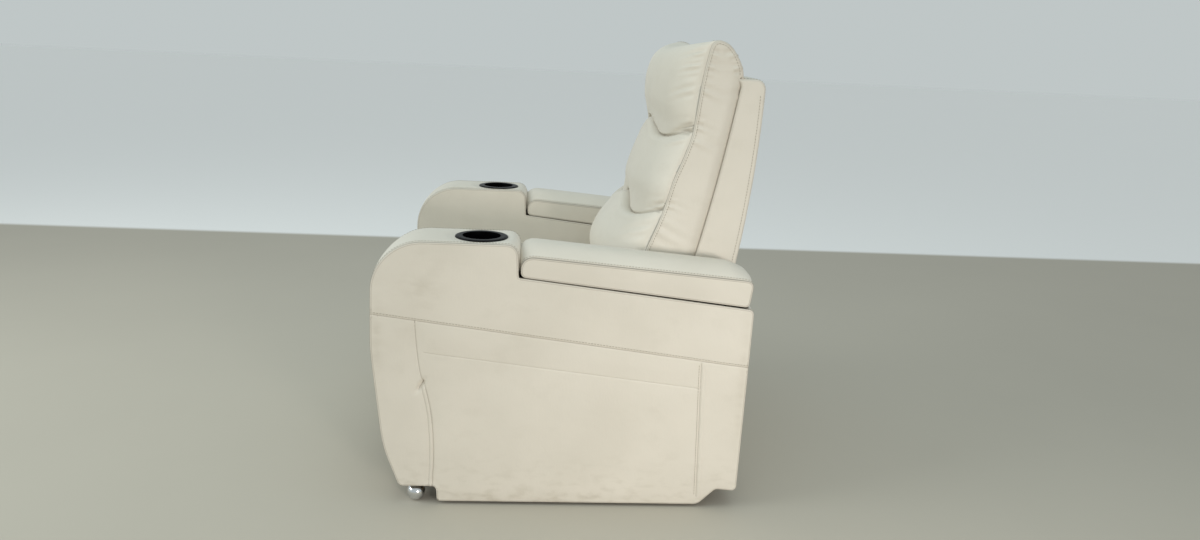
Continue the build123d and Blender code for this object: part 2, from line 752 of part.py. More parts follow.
SEAT_RAIL_Y0 = FRONT + SEAT_RAIL_FRONT
SEAT_RAIL_Y1 = PIVOT_Y - SEAT_RAIL_REAR
SEAT_RAIL_IN = PLATE_IN - SEAT_RAIL_WIDTH
SEAT_RAIL_BOTTOM = SEAT_RAIL_TOP - SEAT_RAIL_HEIGHT


def make_seat():
    side = block(SEAT_RAIL_IN, PLATE_IN, SEAT_RAIL_Y0, SEAT_RAIL_Y1, SEAT_RAIL_BOTTOM, SEAT_RAIL_TOP)
    write("seat_side_rails", side, opposite(side))
    crosses = []
    for y0 in (SEAT_RAIL_Y0, SEAT_RAIL_Y1 - SEAT_RAIL_WIDTH):
        y1 = y0 + SEAT_RAIL_WIDTH
        crosses.append(block(-SEAT_RAIL_IN, SEAT_RAIL_IN, y0, y1, SEAT_RAIL_BOTTOM, SEAT_RAIL_TOP))
    write("seat_cross_rails", *crosses)
    pitch = (SEAT_RAIL_Y1 - SEAT_RAIL_Y0) / SEAT_STRAPS
    straps = []
    for i in range(SEAT_STRAPS):
        y = SEAT_RAIL_Y0 + pitch * (i + 0.5)
        y0 = y - STRAP_WIDTH / 2
        straps.append(block(-PLATE_IN, PLATE_IN, y0, y0 + STRAP_WIDTH, SEAT_RAIL_TOP, SEAT_RAIL_TOP + STRAP))
    write("seat_webbing", *straps)
    write("seat_cushion", seat_cushion())


def seat_outline(crown, draw):
    """The seat cushion from the side, crown lower on top and drawn in at front and rear."""
    low = SEAT_RAIL_TOP + STRAP + FIT
    top = SEAT_TOP - crown
    front = FRONT + SEAT_FRONT + draw
    rear = PIVOT_Y - SEAT_REAR - draw
    points = [
        (front + SEAT_TUCK, low),
        (rear, low),
        (rear, top - SEAT_DIP),
        (front + SEAT_DISH_SETBACK, top - SEAT_DISH),
        (front, top),
    ]
    radii = [SEAT_BOTTOM_ROUND, SEAT_BOTTOM_ROUND, SEAT_REAR_ROUND, SEAT_DISH_ROUND, SEAT_FRONT_ROUND]
    return outline(points, radii)


def seat_cushion():
    """The seat's single cushion, lower and drawn in at its sides."""
    return cross_loft(lambda full: seat_outline(SEAT_CROWN * (1 - full), SEAT_DRAW * (1 - full)))


# Backrest

LEAN = tan(radians(BACK_LEAN))
UPRIGHT_OUT = PLATE_IN - UPRIGHT_GAP
UPRIGHT_IN = UPRIGHT_OUT - UPRIGHT_WIDTH


def upright_front(z):
    """The uprights' front face."""
    return PIVOT_Y + (z - PIVOT_HEIGHT) * LEAN - UPRIGHT_DEPTH / 2 / cos(radians(BACK_LEAN))


def deck(z):
    """The face that the pillows lie on, in front of the webbing."""
    return upright_front(z) - STRAP / cos(radians(BACK_LEAN)) - FIT


def shell_rear(z):
    """The rear panel's rear face, on a parabola that leans back towards its top."""
    share = (z - SHELL_BOTTOM) / (SHELL_TOP - SHELL_BOTTOM)
    return REAR - SHELL_RAKE * (1 - share) ** 2


def shell_front(z):
    """The wings' front edge."""
    share = (z - SHELL_BOTTOM) / (SHELL_TOP - SHELL_BOTTOM)
    return deck(z) + WING_GAP + share * (WING_GAP_TOP - WING_GAP) + 4 * WING_BOW * share * (1 - share)


def make_backrest():
    """Everything that reclines: frame, shell and pillows."""
    turn = Pos(0, PIVOT_Y, PIVOT_HEIGHT) * Rot(-BACK_LEAN, 0, 0)
    length = (UPRIGHT_TOP - PIVOT_HEIGHT) / cos(radians(BACK_LEAN))
    half = UPRIGHT_DEPTH / 2
    post = block(UPRIGHT_IN, UPRIGHT_OUT, -half, half, 0, length)
    post = turn * (post + rod(UPRIGHT_IN, UPRIGHT_OUT, 0, 0, half))
    post -= rod(UPRIGHT_IN, UPRIGHT_OUT, PIVOT_Y, PIVOT_HEIGHT, PIVOT_PIN_RADIUS + RUNNING)
    write("back_uprights", post, opposite(post))
    write("back_top_rail", turn * block(-UPRIGHT_IN, UPRIGHT_IN, -half, half, length - UPRIGHT_WIDTH, length))
    pin = rod(UPRIGHT_IN + PIVOT_PIN_GAP, PLATE_OUT, PIVOT_Y, PIVOT_HEIGHT, PIVOT_PIN_RADIUS)
    write("back_pivot_pins", pin, opposite(pin))
    tube = rod(-UPRIGHT_IN, UPRIGHT_IN, PIVOT_Y, PIVOT_HEIGHT, PIVOT_TUBE_RADIUS)
    bore = PIVOT_TUBE_RADIUS - TUBE_WALL
    tube = tube + crank(-DRIVE_X, PIVOT_Y, PIVOT_HEIGHT, RECLINE_SWING, bore)
    write("back_pivot_tube", tube - rod(-UPRIGHT_IN, UPRIGHT_IN, PIVOT_Y, PIVOT_HEIGHT, bore))
    straps = []
    for i in range(BACK_STRAPS):
        z0 = BACK_STRAP_START + BACK_STRAP_PITCH * i
        straps.append(turn * block(-UPRIGHT_OUT, UPRIGHT_OUT, -half - STRAP, -half, z0, z0 + STRAP_WIDTH))
    write("back_webbing", *straps)
    make_shell()
    make_pillows()


def make_shell():
    """The rear panel, folded forward over the tops of the two side wings."""
    top = SHELL_TOP
    fold = top - SHELL
    wing_top = fold - FIT
    middle = (SHELL_BOTTOM + fold) / 2

    def curved(inset, high):
        """The panel's rear face, moved forward by inset."""
        return ThreePointArc(*[(shell_rear(z) - inset, z) for z in (SHELL_BOTTOM, middle, high)])

    rear = curved(0, top - SHELL_ROUND)
    inner = curved(SHELL, fold)
    bulge = SHELL_ROUND * (1 - sin(radians(45)))
    cap = ThreePointArc(rear @ 1, (shell_rear(top) - bulge, top - bulge), (shell_rear(top) - SHELL_ROUND, top))
    lip = deck(top) + WING_GAP
    underside = Polyline(cap @ 1, (lip, top), (lip, fold), inner @ 1)
    section = make_face([rear, cap, underside, inner, Line(inner @ 0, rear @ 0)])
    write("back_panel", slab(Plane.YZ * section, -CUSHION_X, CUSHION_X))
    front = ThreePointArc(*[(shell_front(z), z) for z in (wing_top, middle, SHELL_BOTTOM)])
    meet = curved(SHELL + FIT, wing_top)
    side = make_face([front, Line(front @ 1, meet @ 0), meet, Line(meet @ 1, front @ 0)])
    wing = slab(Plane.YZ * side, UPRIGHT_OUT, CUSHION_X)
    wing = fillet(wing.edges().group_by(Axis.X)[-1].sort_by(Axis.Y)[0], WING_ROUND)
    write("back_wings", wing, opposite(wing))


def pillow(points, radii):
    """A pillow from its outline's points, given how full it is there, and their radii."""
    return cross_loft(lambda full: outline(points(full), radii))


def lumbar_points(full):
    """The lumbar pillow from the side, resting on the seat."""
    low = SEAT_TOP - SEAT_DIP + LUMBAR_REST - SEAT_CROWN * (1 - full)
    high = LUMBAR_TOP - PILLOW_DRAW * (1 - full)
    belly = low + LUMBAR_BELLY_RISE
    return [
        (deck(low), low),
        (deck(low) - LUMBAR_LOW_SIDE - LUMBAR_LOW_PUFF * full, low),
        (deck(belly) - LUMBAR_BELLY_SIDE - LUMBAR_BELLY_PUFF * full, belly),
        (deck(high) - LUMBAR_HIGH_SIDE - LUMBAR_HIGH_PUFF * full, high),
        (deck(high), high),
    ]


def middle_points(full):
    """The middle pillow from the side."""
    low = LUMBAR_TOP + PILLOW_GAP + PILLOW_DRAW * (1 - full)
    high = MIDDLE_TOP - PILLOW_DRAW * (1 - full)
    return [
        (deck(low), low),
        (deck(low) - MIDDLE_LOW_SIDE - MIDDLE_LOW_PUFF * full, low),
        (deck(high) - MIDDLE_HIGH_SIDE - MIDDLE_HIGH_PUFF * full, high),
        (deck(high), high),
    ]


def head_points(full):
    """The head pillow from the side, which hangs over the shell's top."""
    low = MIDDLE_TOP + PILLOW_GAP + PILLOW_DRAW * (1 - full)
    neck = SHELL_TOP + FIT
    rear = deck(SHELL_TOP) + HEAD_OVERHANG
    return [
        (deck(low), low),
        (deck(low) - HEAD_LOW_SIDE - HEAD_LOW_PUFF * full, low),
        (deck(BACK_TOP) - HEAD_HIGH_SIDE - HEAD_HIGH_PUFF * full, BACK_TOP - HEAD_BROW_DROP),
        (rear - HEAD_REAR_DRAW, BACK_TOP),
        (rear, neck),
        (deck(neck), neck),
    ]


def make_pillows():
    """The three stacked pillows."""
    back = PILLOW_BACK_ROUND
    lumbar_radii = [back, LUMBAR_LOW_ROUND, LUMBAR_BELLY_ROUND, LUMBAR_HIGH_ROUND, back]
    head_radii = [back, HEAD_LOW_ROUND, HEAD_HIGH_ROUND, HEAD_REAR_ROUND, HEAD_LIP_ROUND, HEAD_NECK_ROUND]
    write("lumbar_pillow", pillow(lumbar_points, lumbar_radii))
    write("middle_pillow", pillow(middle_points, [back, MIDDLE_ROUND, MIDDLE_ROUND, back]))
    write("head_pillow", pillow(head_points, head_radii))


# Footrest

LINK_OUT = PLATE_IN - LINK_GAP
LINK_IN = LINK_OUT - LINK
UPPER_OUT = LINK_IN - LINK_GAP
UPPER_IN = UPPER_OUT - LINK
FOLD = radians(LINK_FOLD)
ELBOW = (SWING_Y - LINK_LENGTH * cos(FOLD), SWING_HEIGHT - LINK_LENGTH * sin(FOLD))
KNEE = (SWING_Y - 2 * LINK_LENGTH * cos(FOLD), SWING_HEIGHT)
BOARD_REAR = KNEE[0] - BOARD_OFFSET
BOARD_FRONT = BOARD_REAR - BOARD
BOARD_TOP = KNEE[1] + BOARD_RISE
BOARD_BOTTOM = BOARD_TOP - BOARD_HEIGHT


def link(start, end, start_radius, x0, x1):
    """A flat steel link with round ends; its start may have a larger boss."""
    run = Vector(*end) - Vector(*start)
    side = Vector(-run.Y, run.X).normalized() * LINK_HALF
    a = Vector(*start)
    b = Vector(*end)
    corners = [a + side, b + side, b - side, a - side]
    bar = slab(polygon(*[(p.X, p.Y) for p in corners]), x0, x1)
    return bar + rod(x0, x1, *start, start_radius) + rod(x0, x1, *end, LINK_HALF)


def crank(x, y, z, swing, clear_radius):
    """A forked arm that hangs from a tube and straddles a drive pin, halfway through its swing when plumb."""
    hub = CRANK_HALF + CRANK_HUB
    x0 = x - CRANK_PLATE / 2
    x1 = x + CRANK_PLATE / 2
    slot = DRIVE_PIN_RADIUS + SLOT_CLEARANCE
    arm = block(x0, x1, -CRANK_HALF, CRANK_HALF, -CRANK_TIP, 0) + rod(x0, x1, 0, 0, hub)
    arm -= block(x0, x1, -slot, slot, -CRANK_TIP, -SLOT_ROOT)
    arm -= rod(x0, x1, 0, 0, clear_radius)
    return Pos(0, y, z) * Rot(swing / 2, 0, 0) * arm


def make_footrest():
    bore = TORQUE_TUBE_RADIUS - TUBE_WALL
    tube = rod(-PLATE_OUT, PLATE_OUT, SWING_Y, SWING_HEIGHT, TORQUE_TUBE_RADIUS)
    tube = tube + crank(DRIVE_X, SWING_Y, SWING_HEIGHT, FOOTREST_SWING, bore)
    write("footrest_torque_tube", tube - rod(-PLATE_OUT, PLATE_OUT, SWING_Y, SWING_HEIGHT, bore))
    hub = TORQUE_TUBE_RADIUS + LINK_HUB
    lower = link((SWING_Y, SWING_HEIGHT), ELBOW, hub, LINK_IN, LINK_OUT)
    lower -= rod(LINK_IN, LINK_OUT, SWING_Y, SWING_HEIGHT, TORQUE_TUBE_RADIUS)
    lower -= rod(LINK_IN, LINK_OUT, *ELBOW, LINK_PIN_RADIUS)
    write("footrest_lower_links", lower, opposite(lower))
    upper = link(ELBOW, KNEE, LINK_HALF, UPPER_IN, UPPER_OUT)
    upper -= rod(UPPER_IN, UPPER_OUT, *ELBOW, LINK_PIN_RADIUS + RUNNING)
    upper -= rod(UPPER_IN, UPPER_OUT, *KNEE, LINK_PIN_RADIUS)
    write("footrest_upper_links", upper, opposite(upper))
    elbow_pin = rod(UPPER_IN - PIN_END, LINK_OUT, *ELBOW, LINK_PIN_RADIUS)
    elbow_pin += rod(UPPER_IN - 2 * PIN_END, UPPER_IN - FIT, *ELBOW, LINK_PIN_RADIUS + PIN_HEAD)
    write("footrest_elbow_pins", elbow_pin, opposite(elbow_pin))
    knee_pin = rod(UPPER_IN, LINK_OUT + LINK_GAP / 2, *KNEE, LINK_PIN_RADIUS)
    write("footrest_knee_pins", knee_pin, opposite(knee_pin))
    bracket = footrest_bracket()
    write("footrest_brackets", bracket, opposite(bracket))
    side = CUSHION_X - BOARD_INSET
    write("footrest_board", block(-side, side, BOARD_FRONT, BOARD_REAR, BOARD_BOTTOM, BOARD_TOP))
    write("footrest_pad", footrest_pad())


def footrest_bracket():
    """An angle bracket behind the board, with the lug that the knee pin turns in."""
    y, z = KNEE
    lug = LINK_HALF + BRACKET_LUG
    foot = z - BRACKET_LENGTH
    web = polygon(
        (BOARD_REAR, foot), (BOARD_REAR, z + lug), (y, z + lug), (y + lug, z), (y, z - lug - BRACKET_TAPER)
    )
    flange = block(LINK_OUT - BRACKET_WIDTH, LINK_OUT, BOARD_REAR, BOARD_REAR + BRACKET, foot, z + lug)
    bracket = slab(web, LINK_IN, LINK_OUT) + flange
    return bracket - rod(LINK_IN, LINK_OUT, y, z, LINK_PIN_RADIUS + RUNNING)


def footrest_outline(draw):
    """The footrest pad from the side, thinner by draw towards its ends."""
    rear = BOARD_FRONT - FIT
    front = rear - FOOT_PAD + draw
    low = BOARD_BOTTOM - FOOT_PAD_UNDER + draw / 2
    high = BOARD_TOP + FOOT_PAD_OVER - draw / 2
    points = [(rear, low), (rear, high), (front, high), (front - FOOT_PAD_BOW, (low + high) / 2), (front, low)]
    back = FOOT_PAD_BACK_ROUND
    return outline(points, [back, back, FOOT_PAD_ROUND, FOOT_PAD_BOW_ROUND, FOOT_PAD_ROUND])


def footrest_pad():
    """The footrest's pad, thinner towards its ends."""
    return cross_loft(lambda full: footrest_outline(FOOT_PAD_DRAW * (1 - full)))


# Drives


def drive(x, pivot_y, pivot_z, swing):
    """Where a drive's pin and guide lie at rest."""
    pin_y = pivot_y + CRANK_LENGTH * tan(radians(swing / 2))
    pin_z = pivot_z - CRANK_LENGTH
    return x, pin_y, pin_z, pin_z - GUIDE_DROP


def carriage(x, pin_y, pin_z, guide_z):
    """The sliding nut: a block on the guide, two ears and the cross pin between them."""
    y0 = pin_y - CARRIAGE_LENGTH / 2
    y1 = pin_y + CARRIAGE_LENGTH / 2
    top = guide_z + CARRIAGE_HEIGHT / 2
    half = CARRIAGE_WIDTH / 2
    nut = block(x - half, x + half, y0, y1, guide_z - CARRIAGE_HEIGHT / 2, top)
    for x0 in (x - half, x + half - EAR):
        nut += block(x0, x0 + EAR, pin_y - EAR_HALF, pin_y + EAR_HALF, top, pin_z + EAR_HALF)
    nut += rod(x - half, x + half, pin_y, pin_z, DRIVE_PIN_RADIUS)
    return nut - rod_along_y(y0, y1, x, guide_z, GUIDE_RADIUS + RUNNING)


def motor(x, y, guide_z):
    """A gearbox block on an upright motor can that stands on the middle cross tube."""
    half = MOTOR_WIDTH / 2
    low = guide_z - GEARBOX_HALF
    high = guide_z + GEARBOX_HALF
    gearbox = block(x - half, x + half, y - MOTOR_LENGTH / 2, y + MOTOR_LENGTH / 2, low, high)
    gearbox = fillet(gearbox.edges().filter_by(Axis.Z), GEARBOX_ROUND)
    return gearbox + Pos(x, y, (TUBE_TOP + low) / 2) * Cylinder(MOTOR_RADIUS, low - TUBE_TOP)


def make_drives():
    foot = drive(DRIVE_X, SWING_Y, SWING_HEIGHT, FOOTREST_SWING)
    back = drive(-DRIVE_X, PIVOT_Y, PIVOT_HEIGHT, RECLINE_SWING)
    write("footrest_carriage", carriage(*foot))
    write("recline_carriage", carriage(*back))
    write("drive_motors", motor(DRIVE_X, MOTOR_Y, foot[3]), motor(-DRIVE_X, MOTOR_Y, back[3]))
    hang_y = SEAT_RAIL_Y0 + SEAT_RAIL_WIDTH - HANGER
    half = HANGER_HALF
    foot_guide = rod_along_y(hang_y, MOTOR_Y - MOTOR_LENGTH / 2, DRIVE_X, foot[3], GUIDE_RADIUS)
    foot_guide += block(
        DRIVE_X - half, DRIVE_X + half, hang_y, hang_y + HANGER, foot[3] - half, SEAT_RAIL_BOTTOM
    )
    back_guide = rod_along_y(MOTOR_Y + MOTOR_LENGTH / 2, REAR_TUBE_Y, -DRIVE_X, back[3], GUIDE_RADIUS)
    stand_y = REAR_TUBE_Y - HANGER / 2
    back_guide += block(
        -DRIVE_X - half, -DRIVE_X + half, stand_y, stand_y + HANGER, TUBE_TOP, back[3] + half
    )
    write("drive_guides", foot_guide, back_guide)
    half = INLET_WIDTH / 2
    front = REAR_TUBE_Y + TUBE / 2
    rear = front + INLET_DEPTH
    inlet = block(-half, half, front, rear, TUBE_BOTTOM + INLET_INSET, TUBE_TOP - INLET_INSET)
    inlet += rod_along_y(rear, rear + SOCKET_DEPTH, 0, (TUBE_BOTTOM + TUBE_TOP) / 2, SOCKET_RADIUS)
    write("power_inlet", inlet)


# Switch

SWITCH_Y = FRONT + SWITCH_SETBACK


def switch_pocket():
    """The hole in the right arm's outer side that the switch housing drops into."""
    half = SWITCH_LENGTH / 2 + FIT
    tall = SWITCH_TALL / 2 + FIT
    return block(
        -ARM_OUT, -CORE_OUT, SWITCH_Y - half, SWITCH_Y + half, SWITCH_HEIGHT - tall, SWITCH_HEIGHT + tall
    )


def make_switch():
    """A housing with two wells, and a button in each."""
    face = -ARM_OUT + SWITCH_RECESS
    half = SWITCH_LENGTH / 2
    tall = SWITCH_TALL / 2
    back = -CORE_OUT
    housing = block(face, back, SWITCH_Y - half, SWITCH_Y + half, SWITCH_HEIGHT - tall, SWITCH_HEIGHT + tall)
    housing = fillet(housing.edges().filter_by(Axis.X), SWITCH_ROUND)
    for name, shift in (("open_button", -BUTTON_PITCH / 2), ("close_button", BUTTON_PITCH / 2)):
        y = SWITCH_Y + shift
        wide = BUTTON_LENGTH / 2
        high = BUTTON_TALL / 2
        y0, y1 = y - wide, y + wide
        z0, z1 = SWITCH_HEIGHT - high, SWITCH_HEIGHT + high
        gap = BUTTON_GAP
        well_floor = face + BUTTON_DEPTH + BUTTON_TRAVEL
        housing -= block(face, well_floor, y0 - gap, y1 + gap, z0 - gap, z1 + gap)
        proud = SWITCH_RECESS - FIT
        button = block(face - proud, face - proud + BUTTON_DEPTH, y0, y1, z0, z1)
        button = fillet(button.edges().filter_by(Axis.X), BUTTON_ROUND)
        write(name, button)
    write("switch_housing", housing)


os.makedirs("parts", exist_ok=True)
make_arms()
make_feet()
make_base()
make_seat()
make_backrest()
make_footrest()
make_drives()
make_switch()
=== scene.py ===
"""Dresses the power recliner: padded leather covers, stitched seams, materials, camera and light.

Metres, in the frame of the solids: +Z up, the chair faces -Y, the sitter's left arm is at +X.
"""

import json
import math

import bmesh
import bpy
import numpy as np
from mathutils import Matrix, Vector, noise
from mathutils.bvhtree import BVHTree
from mathutils.geometry import delaunay_2d_cdt
from mathutils.kdtree import KDTree


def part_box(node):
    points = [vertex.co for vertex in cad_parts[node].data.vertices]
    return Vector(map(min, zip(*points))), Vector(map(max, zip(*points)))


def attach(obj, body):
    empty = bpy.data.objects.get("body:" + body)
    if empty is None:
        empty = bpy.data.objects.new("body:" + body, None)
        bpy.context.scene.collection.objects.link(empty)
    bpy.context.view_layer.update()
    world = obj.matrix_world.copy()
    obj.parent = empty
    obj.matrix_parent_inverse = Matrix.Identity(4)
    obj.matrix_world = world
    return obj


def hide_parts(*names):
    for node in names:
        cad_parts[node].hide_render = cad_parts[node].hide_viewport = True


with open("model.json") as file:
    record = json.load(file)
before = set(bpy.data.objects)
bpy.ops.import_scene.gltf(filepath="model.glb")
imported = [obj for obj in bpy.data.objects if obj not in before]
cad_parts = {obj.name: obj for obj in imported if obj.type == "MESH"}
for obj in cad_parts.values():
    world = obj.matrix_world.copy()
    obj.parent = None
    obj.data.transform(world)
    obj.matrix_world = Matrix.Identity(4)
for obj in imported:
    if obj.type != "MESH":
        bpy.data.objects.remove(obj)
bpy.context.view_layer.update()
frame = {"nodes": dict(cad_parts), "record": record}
nodes = frame["nodes"]
scene = bpy.context.scene

# Places read from the frame
ARM_LOW, ARM_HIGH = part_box("left_arm_outer_pad")
ARM_OUT = ARM_HIGH.x
CORE_OUT = ARM_LOW.x
ARM_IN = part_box("left_arm_inner_pad")[0].x
ARM_MID = (ARM_OUT + ARM_IN) / 2
CUSHION_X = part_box("middle_pillow")[1].x
CUP_LOW, CUP_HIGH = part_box("left_cup_holder")
CUP_Y = (CUP_LOW.y + CUP_HIGH.y) / 2
CUP_RADIUS = (CUP_HIGH.x - CUP_LOW.x) / 2

# Upholstery
EDGE_ROUND = 0.0032
SEAM_INSET = 0.0050
SEAM_DEPTH = 0.0011
SEAM_WIDTH = 0.0016
SEAM_LINE = 0.0007
# The dark seam line along a cover's edge, and a fainter painted shadow line beside it
RIM_LINE = 0.0012
PAINTED_RIM_SHADOW = 0.0036
PAINTED_RIM_SHADOW_WIDTH = 0.0006
WELT_HEIGHT = 0.0020
WELT_WIDTH = 0.0034
# How far from its seams a side grows full, and how uneven sides and strips are
PUFF_REACH = 0.045
SIDE_WAVE = 0.0010
STRIP_WAVE = 0.0009
STRIP_EDGE = 0.0035
STITCH_LENGTH = 0.0050
STITCH_PITCH = 0.0072
STITCH_RADIUS = 0.00068
STITCH_OFFSET = 0.0055

# How close points of a cover may lie, and how far apart they are along a seam or an edge
LEAST_GAP = 0.0007
RIM_GAP = 0.0006
ROW_STEP = 0.004
# Distances from a seam or an edge at which a cover gets a row of points
NEAR = (0.0, 0.0009, 0.0019, 0.0028, 0.0036, 0.0045, 0.006, 0.009, 0.0125, 0.018)


# Mesh helpers


def spaced(low, high, marks, coarse):
    """Values from low to high, close together near the marks."""
    values = list(np.linspace(low, high, max(2, int((high - low) / coarse) + 1)))
    for mark in marks:
        values += [mark + side * step for step in NEAR for side in (-1, 1)]
    fixed = {low, high, *marks}
    kept = []
    for value in sorted(v for v in values if low <= v <= high):
        if kept and value - kept[-1] < LEAST_GAP:
            if value in fixed:
                kept[-1] = value
            continue
        kept.append(value)
    return np.array(kept)


def smooth_path(points, count):
    """A Catmull-Rom curve through the points, with count points to each span."""
    p = np.array(points, float)
    p = np.vstack([2 * p[0] - p[1], p, 2 * p[-1] - p[-2]])
    out = []
    for i in range(1, len(p) - 2):
        for t in np.linspace(0, 1, count, endpoint=False):
            a, b, c, d = p[i - 1 : i + 3]
            cubic = (3 * b - a - 3 * c + d) * t**3 + (2 * a - 5 * b + 4 * c - d) * t**2
            out.append(0.5 * (cubic + (c - a) * t + 2 * b))
    out.append(p[-2])
    return np.array(out)


def lengths(path):
    """How far along a path each of its points is."""
    return np.concatenate([[0], np.cumsum(np.linalg.norm(np.diff(path, axis=0), axis=1))])


def along(path, distances):
    """Points at these distances along a path."""
    at = lengths(path)
    return np.stack([np.interp(distances, at, path[:, i]) for i in range(path.shape[1])], 1)


def normals_left(path, closed=False):
    """Unit normals on the left of a path in its plane."""
    if closed:
        run = np.roll(path, -1, 0) - np.roll(path, 1, 0)
    else:
        run = np.gradient(path, axis=0)
    run /= np.linalg.norm(run, axis=1)[:, None]
    return np.stack([-run[:, 1], run[:, 0]], 1)


def distance_to(path, points, closed=False):
    """Distance of each point from a path in its plane."""
    start = path if closed else path[:-1]
    end = np.roll(path, -1, 0) if closed else path[1:]
    run = end - start
    size = np.maximum((run**2).sum(1), 1e-12)
    best = np.full(len(points), 1e9)
    for a, d, n in zip(start, run, size):
        t = np.clip(((points - a) @ d) / n, 0, 1)
        best = np.minimum(best, np.linalg.norm(points - a - t[:, None] * d, axis=1))
    return best


def tube_faces(rows, columns):
    """Faces of a closed tube of points stored row by row, with the last row joined to the first."""
    faces = []
    for i in range(rows):
        k = (i + 1) % rows
        for j in range(columns - 1):
            a = i * columns + j
            b = k * columns + j
            faces.append((a, a + 1, b + 1, b))
    faces.append(tuple(i * columns for i in range(rows)))
    faces.append(tuple(i * columns + columns - 1 for i in range(rows)))
    return faces


def mark_points(mesh, name, values):
    """Keeps a number for each point of a mesh, for its material."""
    numbers = np.asarray(values, np.float32)
    mesh.attributes.new(name, "FLOAT", "POINT").data.foreach_set("value", numbers)


def placed(name, data):
    """A new object in the scene."""
    obj = bpy.data.objects.new(name, data)
    scene.collection.objects.link(obj)
    return obj


def piece(name, points, faces, material, seam=None):
    """A mesh object, its faces outwards; seam is how much of the dark seam colour is at each point, for
    seam lines and for painted shade.
    """
    mesh = bpy.data.meshes.new(name)
    mesh.from_pydata([tuple(p) for p in points], [], faces)
    mesh.validate()
    if seam is not None:
        mark_points(mesh, "seam", seam)
    mesh.shade_smooth()
    mesh.materials.append(material)
    bm = bmesh.new()
    bm.from_mesh(mesh)
    bmesh.ops.recalc_face_normals(bm, faces=bm.faces)
    bm.to_mesh(mesh)
    bm.free()
    return placed(name, mesh)


def joined(name, parts):
    """Several leather covers as one piece."""
    points, faces, seam = [], [], []
    for part in parts:
        start = len(points)
        points += [tuple(v.co) for v in part.data.vertices]
        faces += [tuple(start + i for i in face.vertices) for face in part.data.polygons]
        seam += [value.value for value in part.data.attributes["seam"].data]
        bpy.data.objects.remove(part)
    return piece(name, points, faces, leather, seam)


def mirrored(obj, name):
    """The same cover on the other side of the chair."""
    mesh = obj.data.copy()
    mesh.transform(Matrix.Scale(-1, 4, (1, 0, 0)))
    mesh.flip_normals()
    mesh.name = name
    return placed(name, mesh)


def dress(obj, body, *replaced, fill=None):
    """Ties a piece to its body and hides the solids that it stands for."""
    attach(obj, body)
    if replaced:
        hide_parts(*replaced)


def positions(mesh, kind="co"):
    """The points of a mesh, or their normals."""
    values = np.zeros(len(mesh.vertices) * 3)
    mesh.vertices.foreach_get(kind, values)
    return values.reshape(-1, 3)


def reshape(mesh, points):
    """Moves the points of a mesh."""
    mesh.vertices.foreach_set("co", points.ravel())
    mesh.update()


def node_outline(node, x):
    """The outline, in (y, z) and in order, of a solid's flat face at x."""
    mesh = nodes[node].data
    at = {v.index: (round(v.co.y, 6), round(v.co.z, 6)) for v in mesh.vertices if abs(v.co.x - x) < 1e-5}
    used = {}
    for face in mesh.polygons:
        ring = list(face.vertices)
        if all(i in at for i in ring):
            for a, b in zip(ring, ring[1:] + ring[:1]):
                edge = (at[a], at[b])
                if not used.pop(edge[::-1], False):
                    used[edge] = True
    follow = {a: b for a, b in used}
    start = min(follow, key=lambda p: (p[1], p[0]))
    loop = [start]
    while follow[loop[-1]] != start:
        loop.append(follow[loop[-1]])
    path = np.array(loop)
    area = np.sum(path[:, 0] * np.roll(path[:, 1], -1) - path[:, 1] * np.roll(path[:, 0], -1))
    return path if area > 0 else path[::-1]


def eased(loop, reach):
    """A closed outline with its corners rounded, and points close together."""
    closed = np.vstack([loop, loop[:1]])
    total = lengths(closed)[-1]
    ring = along(closed, np.linspace(0, total, 1200, endpoint=False))
    half = int(600 * reach / total)
    return np.mean([np.roll(ring, step, 0) for step in range(-half, half + 1)], axis=0)


def rounded(distance, radius):
    """How far a face has dropped back at this distance from its rounded edge."""
    short = np.clip(radius - distance, 0, radius)
    return radius - np.sqrt(radius**2 - short**2)


def bell(gap, width):
    """1 where gap is nothing, fading out on both sides over about width."""
    return np.exp(-((gap / width) ** 2))


def ripple(points, scale, seed):
    """Smooth random unevenness between -1 and 1."""
    shift = Vector((seed * 7.1, seed * 3.7, seed * 5.3))
    return np.array([noise.noise(Vector(p) * scale + shift) for p in points])


# Materials


def new_material(name, colour, roughness, metallic=0.0):
    """A material with one shader: the material, its node tree and the shader."""
    material = bpy.data.materials.new(name)
    material.use_nodes = True
    tree = material.node_tree
    shader = tree.nodes["Principled BSDF"]
    shader.inputs["Base Color"].default_value = (*colour, 1)
    shader.inputs["Roughness"].default_value = roughness
    shader.inputs["Metallic"].default_value = metallic
    material.diffuse_color = (*colour, 1)
    return material, tree, shader


def texture(tree, kind, scale, stretch=(1, 1, 1), **settings):
    """What a texture gives in the piece's own space."""
    place = tree.nodes.new("ShaderNodeTexCoord")
    mapping = tree.nodes.new("ShaderNodeMapping")
    mapping.inputs["Scale"].default_value = stretch
    node = tree.nodes.new("ShaderNodeTex" + kind)
    node.inputs["Scale"].default_value = scale
    for key, value in settings.items():
        if key in node.inputs:
            node.inputs[key].default_value = value
        else:
            setattr(node, key, value)
    tree.links.new(place.outputs["Object"], mapping.inputs["Vector"])
    tree.links.new(mapping.outputs["Vector"], node.inputs["Vector"])
    return node.outputs["Distance" if kind == "Voronoi" else "Fac"]


def place_along(tree, axis):
    """Where a point is along one axis of the piece's own space."""
    place = tree.nodes.new("ShaderNodeTexCoord")
    split = tree.nodes.new("ShaderNodeSeparateXYZ")
    tree.links.new(place.outputs["Object"], split.inputs["Vector"])
    return split.outputs[axis]


def stored(tree, name):
    """The number that a mesh keeps for each of its points."""
    node = tree.nodes.new("ShaderNodeAttribute")
    node.attribute_name = name
    return node.outputs["Fac"]


